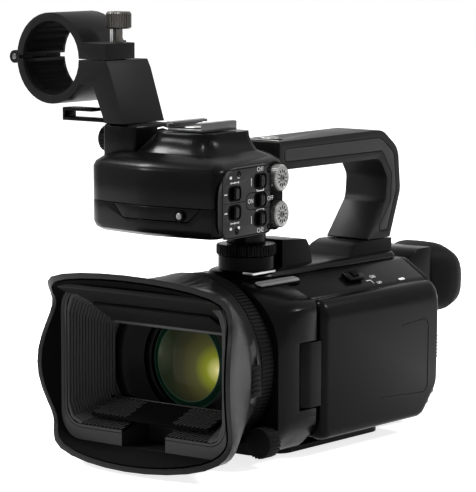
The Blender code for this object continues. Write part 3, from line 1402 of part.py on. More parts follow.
def make_mic_holder():
    half_gap = MIC_SPLIT / 2
    tilt_in = math.degrees(math.asin(half_gap / MIC_BORE_R))
    hinge_in = math.degrees(math.asin(MIC_HINGE_SPLIT / 2 / MIC_BORE_R))
    hinge_out = math.degrees(math.asin(MIC_HINGE_SPLIT / 2 / MIC_OUT_R))
    base_top = SHOULDER_Z + GAP + MIC_BASE_H + GAP
    arm_low = MIC_Z - 11.2 * MM
    reach = math.degrees(math.asin((arm_low - MIC_Z) / MIC_OUT_R))
    arm_top = MIC_Z - half_gap
    arm_end = MIC_SCREW_X + MIC_HEAD_R - 1 * MM
    outline = arc(MIC_BORE_R, 360 - tilt_in, 180 + hinge_in, 16)
    outline += arc(MIC_OUT_R, 180 + hinge_out, 360 + reach, 16)
    outline += [
        (-50 * MM, arm_low),
        (-43 * MM, base_top),
        (-32 * MM, base_top),
        (arm_end + 2 * MM, arm_top - 4 * MM),
        (arm_end, arm_top),
    ]
    bracket = extruded("mic_bracket", outline, MIC_FRONT_Y, MIC_BACK_Y, "Y")

    start_turn = math.degrees(math.asin(MIC_BOSS_H / MIC_OUT_R)) + 1
    outline = arc(MIC_OUT_R, start_turn, 180 - hinge_out, 16)
    outline += arc(MIC_BORE_R, 180 - hinge_in, tilt_in, 16)
    boss_end = MIC_SCREW_X + MIC_BOSS_END
    outline += [(boss_end, MIC_Z + half_gap), (boss_end, MIC_Z + MIC_BOSS_H)]
    clamp = extruded("mic_clamp", outline, MIC_FRONT_Y, MIC_BACK_Y, "Y")

    pin_x = MIC_X - MIC_OUT_R - MIC_EYE_R * 0.6
    third = MIC_L / 3
    spans = [(MIC_FRONT_Y + third * k, MIC_FRONT_Y + third * (k + 1)) for k in range(3)]

    def eye(span, radius, grow):
        return cylinder("c", radius, span[0] - grow, span[1] + grow, (pin_x, MIC_Z), "Y", 20, cutter=True)

    bracket = combine(bracket, [eye(spans[1], MIC_EYE_R + GAP, GAP / 2)])
    eyes = [eye(span, MIC_EYE_R, -GAP / 2) for span in (spans[0], spans[2])]
    bracket = combine(bracket, eyes, "UNION")
    clamp = combine(clamp, [eye(spans[0], MIC_EYE_R + GAP, GAP / 2), eye(spans[2], MIC_EYE_R + GAP, GAP / 2)])
    clamp = combine(clamp, [eye(spans[1], MIC_EYE_R, -GAP / 2)], "UNION")
    whole = (MIC_FRONT_Y, MIC_BACK_Y)
    bracket = combine(bracket, [eye(whole, MIC_PIN_R + GAP, 5 * MM)])
    screw_y = MIC_FRONT_Y + MIC_L / 2
    bore = cylinder("c", MIC_ROD_R + GAP, MIC_Z - 1 * MM, MIC_Z + 30 * MM, (MIC_SCREW_X, screw_y), "Z", 20,
                    cutter=True)
    trim = box("c", (MIC_X + MIC_OUT_R, MIC_FRONT_Y + MIC_BOSS_L, MIC_Z - 1 * MM),
               (MIC_X + 90 * MM, MIC_BACK_Y + 5 * MM, MIC_Z + 30 * MM), cutter=True)
    combine(clamp, [eye(whole, MIC_PIN_R + GAP, 5 * MM), bore, trim])
    cylinder("mic_pin", MIC_PIN_R, MIC_FRONT_Y, MIC_BACK_Y, (pin_x, MIC_Z), "Y", 20, "steel")

    head_low = MIC_Z + MIC_BOSS_H + MIC_HEAD_LIFT
    outline = moved(toothed(MIC_HEAD_R, 24, 0.5 * MM), MIC_SCREW_X, screw_y)
    screw = extruded("mic_screw", outline, head_low, head_low + MIC_HEAD_H, "Z", "steel")
    rod = cylinder("c", MIC_ROD_R, MIC_Z + half_gap + GAP, head_low + 1 * MM, (MIC_SCREW_X, screw_y), "Z", 20,
                   cutter=True)
    combine(screw, [rod], "UNION")

    high = base_top + CLIP_H
    right = CLIP_X
    left = right - CLIP_L
    t = CLIP_T
    outline = [
        (right, base_top),
        (right, base_top + t),
        (left + t, base_top + t),
        (left + t, high - t),
        (right - 8 * MM, high - t),
        (right - 8 * MM, high),
        (left, high),
        (left, base_top),
    ]
    outline.reverse()
    clip_y = MIC_FRONT_Y + 2 * MM
    extruded("cable_clip", outline, clip_y, clip_y + CLIP_W, "Y", "steel")


def main():
    make_body()
    make_front()
    make_lens()
    make_hood()
    make_monitor()
    make_body_controls()
    make_top()
    make_strap()
    make_rear()
    make_audio()
    make_handle()
    make_mic_holder()


main()
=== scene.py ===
"""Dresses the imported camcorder: moulded skins, hood ribs, coated glass, sound panel, strap and studio."""

import json
import logging
import math
from dataclasses import dataclass
from enum import Enum
from typing import Callable, Iterable, Sequence

import bmesh
import bpy
from mathutils import Matrix, Vector
from mathutils.geometry import intersect_point_line
from mathutils.bvhtree import BVHTree

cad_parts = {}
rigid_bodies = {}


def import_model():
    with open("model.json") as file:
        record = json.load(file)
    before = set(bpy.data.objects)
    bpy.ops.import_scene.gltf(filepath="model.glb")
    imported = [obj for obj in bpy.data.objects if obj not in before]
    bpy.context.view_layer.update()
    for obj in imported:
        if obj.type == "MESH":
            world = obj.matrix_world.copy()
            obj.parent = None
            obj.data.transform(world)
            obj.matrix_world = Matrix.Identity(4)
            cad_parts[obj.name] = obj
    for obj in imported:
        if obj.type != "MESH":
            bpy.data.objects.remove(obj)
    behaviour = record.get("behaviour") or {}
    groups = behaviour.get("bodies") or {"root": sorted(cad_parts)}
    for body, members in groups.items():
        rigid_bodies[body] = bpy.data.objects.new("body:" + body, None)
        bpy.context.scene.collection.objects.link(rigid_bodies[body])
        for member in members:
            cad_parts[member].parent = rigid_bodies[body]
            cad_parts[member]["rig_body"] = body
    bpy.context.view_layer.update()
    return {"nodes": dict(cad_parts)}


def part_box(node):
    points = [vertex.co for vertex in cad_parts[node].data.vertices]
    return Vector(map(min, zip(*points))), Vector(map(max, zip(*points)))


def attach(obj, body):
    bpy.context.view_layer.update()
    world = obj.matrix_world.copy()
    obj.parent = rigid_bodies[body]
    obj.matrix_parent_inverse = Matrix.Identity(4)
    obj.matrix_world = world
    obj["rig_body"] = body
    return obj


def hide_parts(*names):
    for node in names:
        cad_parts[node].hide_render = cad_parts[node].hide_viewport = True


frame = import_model()

# Shapes are drawn in millimetres and made metres when a piece is added
MM = 0.001
LENS_Z = 44.0
CAMERA_BODY = "camera"
LOG = logging.getLogger("camcorder")
logging.basicConfig(level=logging.INFO, format="%(message)s")

Shape = bmesh.types.BMesh
Vert = bmesh.types.BMVert
Mesh = bpy.types.Mesh
Piece = bpy.types.Object
Material = bpy.types.Material
Tree = bpy.types.NodeTree
Node = bpy.types.Node
Socket = bpy.types.NodeSocket
Outline = Sequence[Sequence[float]]


class Grain(Enum):
    """Surface patterns that a finish can carry."""

    MOULDED = "moulded"
    BRUSHED = "brushed"
    WOVEN = "woven"
    PEBBLED = "pebbled"
    PERFORATED = "perforated"


def feed(tree: Tree, node: Node, inputs: dict) -> Node:
    """Sets a node's inputs, linking those that are given as sockets, and returns the node."""
    for label, value in inputs.items():
        if isinstance(value, Socket):
            tree.links.new(value, node.inputs[label])
        else:
            node.inputs[label].default_value = value
    return node


def add_node(tree: Tree, kind: str, inputs: dict | None = None, **options: object) -> Node:
    """Adds one shader node.

    Args:
        tree: the nodes it joins.
        kind: its type, without the prefix that all share.
        inputs: a value, or a socket to link, for inputs by name or place.
        options: the node's own settings.

    Returns:
        The new node.
    """
    node = tree.nodes.new(f"ShaderNode{kind}")
    for option, choice in options.items():
        setattr(node, option, choice)
    return feed(tree, node, inputs or {})


def maths(tree: Tree, operation: str, *terms: object) -> Socket:
    """Adds one sum of sockets or numbers and returns its result."""
    return add_node(tree, "Math", dict(enumerate(terms)), operation=operation).outputs[0]


def mixed(tree: Tree, first: object, second: object, share: object = 1.0,
          blend: str = "MIX") -> Socket:
    """Blends two colours and returns the result."""
    inputs = {"Factor": share, "A": first, "B": second}
    return add_node(tree, "Mix", inputs, data_type="RGBA", blend_type=blend).outputs["Result"]


def blank_material(name: str) -> tuple[Material, Tree, Node]:
    """Makes a material and gives it with its nodes and its shader."""
    material = bpy.data.materials.new(name)
    material.use_nodes = True
    return material, material.node_tree, material.node_tree.nodes["Principled BSDF"]


# Sockets of every surface group, and the numbers that all its patterns share
GROUP_INPUTS = {"Colour": "Color", "Worn": "Color", "Rough": "Float", "Scale": "Float", "Variation": "Float"}
GROUP_OUTPUTS = {"Base Color": "Color", "Roughness": "Float", "Height": "Float"}
PATCHES = {"Scale": 38.0, "Detail": 4.0}
PATCH_ROUGH = 0.2
BRUSH_STRETCH = (0.08, 1.0, 1.0)
HOLE_COLOUR = (0.004, 0.004, 0.004, 1.0)


def surface_group(kind: Grain) -> Tree:
    """Builds, once per kind, the shared node group that gives colour, roughness and height.

    Args:
        kind: the pattern the group draws.

    Returns:
        The shader node group.
    """
    name = f"surface_{kind.value}"
    if name in bpy.data.node_groups:
        return bpy.data.node_groups[name]
    tree = bpy.data.node_groups.new(name, "ShaderNodeTree")
    for way, sockets in (("INPUT", GROUP_INPUTS), ("OUTPUT", GROUP_OUTPUTS)):
        for label, kind_of in sockets.items():
            tree.interface.new_socket(label, in_out=way, socket_type=f"NodeSocket{kind_of}")
    entry = tree.nodes.new("NodeGroupInput").outputs
    where = add_node(tree, "TexCoord").outputs["Object"]
    stretch = add_node(tree, "Mapping", {"Vector": where})
    if kind is Grain.BRUSHED:
        stretch.inputs["Scale"].default_value = BRUSH_STRETCH
    height = pattern_height(kind, tree, {"Vector": stretch.outputs["Vector"], "Scale": entry["Scale"]})
    broad = add_node(tree, "TexNoise", {"Vector": where, **PATCHES}).outputs["Fac"]
    colour = mixed(tree, entry["Colour"], entry["Worn"], maths(tree, "MULTIPLY", broad, entry["Variation"]))
    if kind is Grain.PERFORATED:
        colour = mixed(tree, HOLE_COLOUR, colour, height)
    uneven = maths(tree, "SUBTRACT", broad, 0.5)
    rough = maths(tree, "MULTIPLY_ADD", uneven, PATCH_ROUGH, entry["Rough"])
    leave = tree.nodes.new("NodeGroupOutput")
    feed(tree, leave, {"Base Color": colour, "Roughness": rough, "Height": height})
    return tree


def pattern_height(kind: Grain, tree: Tree, source: dict) -> Socket:
    """Adds the nodes that draw one pattern.

    Args:
        kind: the pattern.
        tree: the group it is drawn in.
        source: the coordinates and the scale that every texture takes.

    Returns:
        The socket with the pattern's height.
    """
    if kind is Grain.WOVEN:
        waves = [add_node(tree, "TexWave", source | {"Distortion": 0.6}, bands_direction=way).outputs["Fac"]
                 for way in "ZY"]
        return maths(tree, "MULTIPLY", *waves)
    if kind is Grain.PEBBLED:
        return add_node(tree, "TexVoronoi", source, feature="SMOOTH_F1").outputs["Distance"]
    if kind is Grain.PERFORATED:
        cells = add_node(tree, "TexVoronoi", source | {"Randomness": 0.12}).outputs["Distance"]
        edge = add_node(tree, "MapRange", {"Value": cells, "From Min": 0.28, "From Max": 0.4})
        return edge.outputs["Result"]
    return add_node(tree, "TexNoise", source | {"Detail": 3.0}).outputs["Fac"]


WORN_GAIN = 1.5
WORN_LIFT = 0.002
BUMP_REACH = 0.0002
COAT_ROUGH = 0.06


@dataclass(frozen=True)
class Finish:
    """One procedural finish, written in plain numbers."""

    name: str
    colour: tuple
    rough: float = 0.5
    metal: float = 0.0
    grain: Grain = Grain.MOULDED
    scale: float = 1400.0
    depth: float = 0.15
    variation: float = 0.3
    coat: float = 0.0
    specular: float = 0.2
    slot: str = "body_plastic"

    def material(self) -> Material:
        """Makes the material the first time and returns it afterwards."""
        if self.name in bpy.data.materials:
            return bpy.data.materials[self.name]
        material, tree, shader = blank_material(self.name)
        worn = [min(1.0, part * WORN_GAIN + WORN_LIFT) for part in self.colour]
        group = add_node(tree, "Group", {
            "Colour": (*self.colour, 1.0), "Worn": (*worn, 1.0), "Rough": self.rough, "Scale": self.scale,
            "Variation": self.variation}, node_tree=surface_group(self.grain)).outputs
        bump = add_node(tree, "Bump", {
            "Strength": self.depth, "Distance": BUMP_REACH, "Height": group["Height"]})
        feed(tree, shader, {
            "Base Color": group["Base Color"], "Roughness": group["Roughness"],
            "Normal": bump.outputs["Normal"], "Metallic": self.metal, "Specular IOR Level": self.specular,
            "Coat Weight": self.coat, "Coat Roughness": COAT_ROUGH})
        return material


BLACK = Finish("black_moulding", (0.0018, 0.0018, 0.0019), 0.24, specular=0.045)
SATIN = Finish("satin_black", (0.0020, 0.0020, 0.0021), 0.25, scale=2200.0, depth=0.08, specular=0.045,
               slot="dark_plastic")
HOOD = Finish("hood_moulding", (0.0085, 0.0085, 0.0087), 0.3, scale=1800.0, depth=0.2, specular=0.075,
              slot="dark_plastic")
# Lighter grey copy of the hood plastic, painted for the light that falls on the rims' fronts and the ribs
# inside the hood
HOOD_PAINTED_LIGHT = Finish("hood_painted_light", (0.034, 0.034, 0.0345), 0.5, scale=1800.0, depth=0.2, specular=0.06,
               slot="dark_plastic")
PLATE = Finish("barrier_plate", (0.009, 0.009, 0.0092), 0.45, scale=1800.0, depth=0.15, specular=0.04,
               slot="dark_plastic")
# Lighter grey, used on the switch ridges, and on the upper blade's hinge bar as a painted highlight for the
# light line along the blade's edge
GREY_AND_EDGE_HIGHLIGHT = Finish("grey_ridges_and_edge_highlight", (0.040, 0.040, 0.040), 0.45, scale=1800.0, depth=0.1, slot="dark_plastic")
LENS_BLACK = Finish("lens_black", (0.0018, 0.0018, 0.0019), 0.3, depth=0.05, specular=0.03,
                    slot="dark_plastic")
SOFT = Finish("soft_rubber", (0.0034, 0.0034, 0.0036), 0.55, scale=1700.0, depth=0.2, specular=0.045,
              slot="rubber")
DEEP = Finish("deep_black", (0.0015, 0.0015, 0.0016), 0.7, depth=0.05, specular=0.02, slot="rubber")
GRIP = Finish("grip_skin", (0.022, 0.022, 0.0225), 0.55, grain=Grain.PEBBLED, scale=1500.0, depth=0.35,
              specular=0.12, slot="grip_plastic")
HANDLE = Finish("handle_moulding", (0.0080, 0.0080, 0.0082), 0.38, scale=2000.0, depth=0.22, specular=0.06)
HOLDER = Finish("holder_moulding", (0.0055, 0.0055, 0.0057), 0.42, scale=1500.0, depth=0.3, specular=0.05)
PANEL = Finish("panel_moulding", (0.014, 0.014, 0.0143), 0.5, scale=2600.0, depth=0.25, specular=0.1,
               slot="dark_plastic")
SILVER = Finish("bright_metal", (0.55, 0.55, 0.54), 0.34, 1.0, Grain.BRUSHED, 900.0, 0.08, 0.2, specular=0.5,
                slot="silver")
DIAL = Finish("dial_metal", (0.20, 0.20, 0.195), 0.42, 1.0, Grain.BRUSHED, 900.0, 0.1, 0.3, specular=0.5,
              slot="silver")
STEEL = Finish("dark_steel", (0.08, 0.08, 0.083), 0.34, 1.0, Grain.BRUSHED, 900.0, 0.08, 0.3, specular=0.5,
               slot="steel")
KNURL = Finish("knurled_steel", (0.070, 0.066, 0.060), 0.36, 1.0, Grain.PEBBLED, 1500.0, 0.4, 0.3,
               specular=0.5, slot="steel")
WEB = Finish("woven_strap", (0.012, 0.012, 0.013), 0.85, grain=Grain.WOVEN, scale=420.0, depth=0.6,
             slot="webbing")
THREAD = Finish("stitch_thread", (0.05, 0.05, 0.052), 0.7, grain=Grain.WOVEN, scale=1600.0, slot="webbing")
GLOSS = Finish("gloss_window", (0.004, 0.004, 0.0045), 0.08, depth=0.0, coat=0.6, slot="window")
GREEN_GLASS = Finish("inner_glass", (0.01, 0.03, 0.018), 0.05, depth=0.0, coat=0.5, specular=0.5,
                     slot="glass")
RED = Finish("red_button", (0.36, 0.012, 0.01), 0.35, depth=0.05, slot="red_plastic")
MESH = Finish("grille_metal", (0.30, 0.30, 0.305), 0.45, 0.4, Grain.PERFORATED, 1300.0, 0.9,
              slot="mesh_metal")
BOARD = Finish("circuit_board", (0.012, 0.08, 0.03), 0.5, depth=0.1, slot="board")
MARK = Finish("white_mark", (0.62, 0.62, 0.61), 0.6, depth=0.02, variation=0.1)
LAMP = Finish("lamp_lens", (0.14, 0.14, 0.135), 0.3, depth=0.05, coat=0.3, slot="window")


@dataclass(frozen=True)
class GlassWithPaintedGlint:
    """The front element: a dark green edge round a disc with a painted olive glint, as coatings reflect
    light, and a painted pale reflection at the left; all of it is emitted, so the glass glows.
    """

    name: str = "glass_painted_glint"
    slot: str = "glass"
    # Where the painted glint and the painted pale reflection lie, and how far they reach, in millimetres
    painted_glint_x: float = 17.6
    painted_glint_z: float = 42.2
    disc_r: float = 17.6
    edge_r: float = 21.0
    painted_glint_reach: float = 27.0
    painted_reflection_x: float = -17.0
    painted_reflection_rise: float = 4.0
    painted_reflection_reach: float = 12.0

    def material(self) -> Material:
        """Makes the material the first time and returns it afterwards."""
        if self.name in bpy.data.materials:
            return bpy.data.materials[self.name]
        material, tree, shader = blank_material(self.name)
        axis = (0.0, 0.0, LENS_Z)
        rim = self.disc_r / self.edge_r
        none = (0.0, 0.0, 0.0)
        green = (0.0016, 0.006, 0.0034)
        # Painted glint: a fixed olive-yellow reflection of light on the coating, right of the axis
        painted_glint = self.spread(tree, (self.painted_glint_x, 0.0, self.painted_glint_z), self.painted_glint_reach, (
            (0.0, (0.52, 0.48, 0.26)), (0.10, (0.34, 0.33, 0.10)), (0.24, (0.13, 0.145, 0.010)),
            (0.46, (0.042, 0.042, 0.013)), (0.75, (0.018, 0.018, 0.008)), (1.0, (0.009, 0.012, 0.006))))
        # Edge ring: dark green tint, with lighter lines at its inner and outer rims painted as edge
        # highlights
        edge = self.spread(tree, axis, self.edge_r, (
            (0.0, none), (rim - 0.012, none), (rim, (0.012, 0.030, 0.020)), (rim + 0.025, green),
            (0.955, green), (0.985, (0.008, 0.018, 0.012))))
        inside = self.spread(tree, axis, self.edge_r, ((rim - 0.004, (1.0, 1.0, 1.0)), (rim, none)))
        # Painted pale reflection on the left of the glass
        painted_reflection = self.spread(tree, (self.painted_reflection_x, 0.0, LENS_Z + self.painted_reflection_rise), self.painted_reflection_reach, (
            (0.0, (0.032, 0.038, 0.026)), (0.30, (0.013, 0.015, 0.010)), (1.0, none)))
        # Painted glint and painted reflection together, kept inside the disc
        middle = mixed(tree, mixed(tree, painted_glint, painted_reflection, blend="ADD"), inside, blend="MULTIPLY")
        painted_glass_colour = mixed(tree, middle, edge, blend="ADD")
        # The painted colours are also emitted, so the glass glows though it is no lamp
        feed(tree, shader, {"Base Color": painted_glass_colour, "Emission Color": painted_glass_colour, "Emission Strength": 0.7,
                            "Roughness": 0.04, "Specular IOR Level": 0.02})
        return material

    @staticmethod
    def spread(tree: Tree, centre: tuple, reach: float, stops: tuple) -> Socket:
        """Colours by distance from a point, measured across the lens.

        Args:
            tree: the material's nodes.
            centre: the point, in millimetres.
            reach: the distance where the last stop lies.
            stops: pairs of share and colour.

        Returns:
            The colour socket.
        """
        scale = 1 / (reach * MM)
        flat = add_node(tree, "Mapping", {
            "Vector": add_node(tree, "TexCoord").outputs["Object"],
            "Location": [-part / reach for part in centre], "Scale": (scale, 0.0, scale)})
        length = add_node(tree, "VectorMath", {0: flat.outputs["Vector"]}, operation="LENGTH")
        ramp = add_node(tree, "ValToRGB", {"Fac": length.outputs["Value"]})
        elements = ramp.color_ramp.elements
        while len(elements) < len(stops):
            elements.new(0.5)
        for element, (share, colour) in zip(elements, stops):
            element.position = share
            element.color = (*colour, 1.0)
        return ramp.outputs["Color"]


def face_at(origin: Sequence[float], across: Sequence[float], up: Sequence[float]) -> Matrix:
    """Gives the frame of a face: X runs across it, Y up it and Z stands out of it."""
    right = Vector(across).normalized()
    top = Vector(up).normalized()
    turn = Matrix((right, top, right.cross(top))).transposed().to_4x4()
    return Matrix.Translation(origin) @ turn


FLAT = Matrix.Identity(4)


class Side(Enum):
    """Ways a face can look, each with its directions across and up."""

    LEFT = ((0, 1, 0), (0, 0, 1))
    RIGHT = ((0, -1, 0), (0, 0, 1))
    FRONT = ((1, 0, 0), (0, 0, 1))
    REAR = ((-1, 0, 0), (0, 0, 1))
    TOP = ((1, 0, 0), (0, 1, 0))
    UNDER = ((1, 0, 0), (0, -1, 0))

    def at(self, x: float, y: float, z: float) -> Matrix:
        """Gives the frame of a face that looks this way."""
        return face_at((x, y, z), *self.value)


def moved(place: Matrix, across: float, up: float, out: float = 0.0) -> Matrix:
    """Shifts a frame along its own directions."""
    return place @ Matrix.Translation((across, up, out))


def between(first: float, last: float, share: float) -> float:
    """Gives the number at a share of the way between two."""
    return first + (last - first) * share


def rounded(corners: Sequence[tuple], steps: int = 6) -> list[Vector]:
    """Draws a closed outline with rounded corners.

    Args:
        corners: (a, b, radius), counter-clockwise.
        steps: steps in each round.

    Returns:
        The outline's points.
    """
    out = []
    count = len(corners)
    for index, (a, b, radius) in enumerate(corners):
        here = Vector((a, b))
        if radius <= 0:
            out.append(here)
            continue
        before = (Vector(corners[index - 1][:2]) - here).normalized()
        after = (Vector(corners[(index + 1) % count][:2]) - here).normalized()
        half = before.angle(after) / 2
        reach = radius / math.tan(half)
        start = here + before * reach
        end = here + after * reach
        middle = here + (before + after).normalized() * (radius / math.sin(half))
        first = math.atan2(start.y - middle.y, start.x - middle.x)
        last = math.atan2(end.y - middle.y, end.x - middle.x)
        sweep = (last - first + math.pi) % (2 * math.pi) - math.pi
        for step in range(steps + 1):
            turn = first + sweep * step / steps
            out.append(middle + radius * Vector((math.cos(turn), math.sin(turn))))
    return out


def slab(width: float, height: float, radius: float, centre: Sequence[float] = (0, 0),
         steps: int = 5) -> list[Vector]:
    """Draws a rounded rectangle round a centre."""
    a, b = centre
    w = width / 2
    h = height / 2
    corners = ((a + w, b - h), (a + w, b + h), (a - w, b + h), (a - w, b - h))
    return rounded([(*corner, radius) for corner in corners], steps)


def disc(radius: float, count: int) -> list[Vector]:
    """Draws a circle."""
    turns = [2 * math.pi * index / count for index in range(count)]
    return [Vector((radius * math.cos(turn), radius * math.sin(turn))) for turn in turns]


def toothed(radius: float, teeth: int, depth: float) -> list[Vector]:
    """Draws a knurled outline with flat-topped teeth."""
    out = []
    for index in range(teeth):
        for part, reach in ((0.0, radius), (0.45, radius), (0.55, radius - depth), (0.9, radius - depth)):
            turn = 2 * math.pi * (index + part) / teeth
            out.append(Vector((reach * math.cos(turn), reach * math.sin(turn))))
    return out


def placed(outline: Outline, place: Matrix, height: float = 0.0) -> list[Vector]:
    """Lifts a flat outline into space."""
    return [place @ Vector((point[0], point[1], height)) for point in outline]


def loft(rings: Sequence[Sequence[Vector]], closed: bool = False) -> Shape:
    """Bridges rings of matching points into one skin.

    Args:
        rings: the rings, in order.
        closed: joins the last ring to the first; otherwise both ends are capped.

    Returns:
        The shape.
    """
    work = bmesh.new()
    loops = [[work.verts.new(point) for point in ring] for ring in rings]
    pairs = list(zip(loops, loops[1:]))
    if closed:
        pairs.append((loops[-1], loops[0]))
    else:
        work.faces.new(loops[0])
        work.faces.new(loops[-1])
    for low, high in pairs:
        for index, vert in enumerate(low):
            after = (index + 1) % len(low)
            work.faces.new((vert, low[after], high[after], high[index]))
    bmesh.ops.recalc_face_normals(work, faces=work.faces)
    return work


def stacked(place: Matrix, levels: Iterable, count: int = 0, closed: bool = False) -> Shape:
    """Lofts outlines along a frame's Z.

    Args:
        place: the frame.
        levels: outlines, or radii of circles, each with its height.
        count: points in those circles.
        closed: joins the last level to the first; otherwise both ends are capped.

    Returns:
        The shape.
    """
    rings = [placed(disc(shape, count) if isinstance(shape, float) else shape, place, height)
             for shape, height in levels]
    return loft(rings, closed)


def verts_in(geometry: Iterable) -> list[Vert]:
    """Picks the points out of what an operator made."""
    return [item for item in geometry if isinstance(item, Vert)]


def resize(work: Shape, factor: float) -> None:
    """Scales a shape evenly about the origin."""
    bmesh.ops.scale(work, vec=(factor, factor, factor), verts=work.verts)


EDGE_ANGLE = 32.0
SMOOTH_ANGLE = 35.0
FINE_ANGLE = 25.0


def round_edges(work: Shape, width: float, segments: int = 2, angle: float = EDGE_ANGLE) -> Shape:
    """Bevels every edge sharper than an angle and returns the shape."""
    limit = math.radians(angle)
    edges = [edge for edge in work.edges if edge.is_manifold and edge.calc_face_angle(0.0) > limit]
    bmesh.ops.bevel(work, geom=edges, offset=width, offset_type="OFFSET", segments=segments, profile=0.5,
                    affect="EDGES", clamp_overlap=True, material=-1)
    return work


def prism(outline: Outline, low: float, high: float, place: Matrix = FLAT, edge: float = 0.0,
          segments: int = 2) -> Shape:
    """Extrudes a flat outline.

    Args:
        outline: the outline in the frame's X and Y.
        low: where it starts along the frame's Z.
        high: where it ends.
        place: the frame.
        edge: rounding of its edges.
        segments: steps of that rounding.

    Returns:
        The shape.
    """
    work = bmesh.new()
    face = work.faces.new([work.verts.new((point[0], point[1], low)) for point in outline])
    grown = bmesh.ops.extrude_face_region(work, geom=[face])["geom"]
    bmesh.ops.translate(work, vec=(0, 0, high - low), verts=verts_in(grown))
    bmesh.ops.recalc_face_normals(work, faces=work.faces)
    if edge > 0:
        round_edges(work, edge, segments)
    bmesh.ops.transform(work, matrix=place, verts=work.verts)
    return work


def collar(outer: Outline, inner: Outline, low: float, high: float, place: Matrix = FLAT) -> Shape:
    """Makes a flat ring between two outlines of as many points."""
    return stacked(place, ((outer, low), (outer, high), (inner, high), (inner, low)), closed=True)


def lathe(profile: Outline, place: Matrix = FLAT, steps: int = 64) -> Shape:
    """Spins a profile of (radius, height) round its frame's Z.

    Args:
        profile: the closed profile; points of radius zero lie on the axis.
        place: the frame.
        steps: steps of the turn.

    Returns:
        The shape.
    """
    work = bmesh.new()
    verts = [work.verts.new((radius, 0, height)) for radius, height in profile]
    edges = [work.edges.new(pair) for pair in zip(verts, verts[1:] + verts[:1])
             if max(vert.co.x for vert in pair) > 0]
    bmesh.ops.spin(work, geom=verts + edges, cent=(0, 0, 0), axis=(0, 0, 1), dvec=(0, 0, 0),
                   angle=2 * math.pi, steps=steps, use_merge=True, use_duplicate=False)
    bmesh.ops.remove_doubles(work, verts=work.verts, dist=0.0005)
    bmesh.ops.transform(work, matrix=place, verts=work.verts)
    bmesh.ops.recalc_face_normals(work, faces=work.faces)
    return work


def mesh_of(work: Shape, name: str) -> Mesh:
    """Writes a shape into a new mesh and frees the shape."""
    mesh = bpy.data.meshes.new(name)
    work.to_mesh(mesh)
    work.free()
    return mesh


def linked(name: str, data: bpy.types.ID) -> Piece:
    """Puts a new object into the scene."""
    obj = bpy.data.objects.new(name, data)
    bpy.context.scene.collection.objects.link(obj)
    return obj


def joined(parts: Iterable[Shape]) -> Shape:
    """Puts several shapes into one bmesh and frees them."""
    whole = bmesh.new()
    for part in parts:
        mesh = mesh_of(part, "part")
        whole.from_mesh(mesh)
        bpy.data.meshes.remove(mesh)
    return whole


def evaluated(obj: Piece) -> Shape:
    """Reads a helper object with its modifiers as a bmesh and removes the object."""
    graph = bpy.context.evaluated_depsgraph_get()
    mesh = bpy.data.meshes.new_from_object(obj.evaluated_get(graph))
    work = bmesh.new()
    work.from_mesh(mesh)
    bpy.data.meshes.remove(mesh)
    bpy.data.objects.remove(obj, do_unlink=True)
    return work


PRINT_HIGH = 0.04
LINE_HIGH = 0.06


def lettering(text: str, size: float, place: Matrix) -> Shape:
    """Draws a short generic mark, centred on a frame, as thin raised print."""
    curve = bpy.data.curves.new("mark", "FONT")
    curve.body = text
    curve.size = size
    curve.align_x = "CENTER"
    curve.align_y = "CENTER"
    curve.extrude = PRINT_HIGH
    curve.resolution_u = 3
    work = evaluated(linked("helper", curve))
    bmesh.ops.transform(work, matrix=place, verts=work.verts)
    return work


def bar(length: float, width: float, centre: Sequence[float], place: Matrix) -> Shape:
    """Makes a thin printed bar on a face."""
    return prism(slab(length, width, 0.3 * min(length, width), centre, 2), 0.0, LINE_HIGH, place)


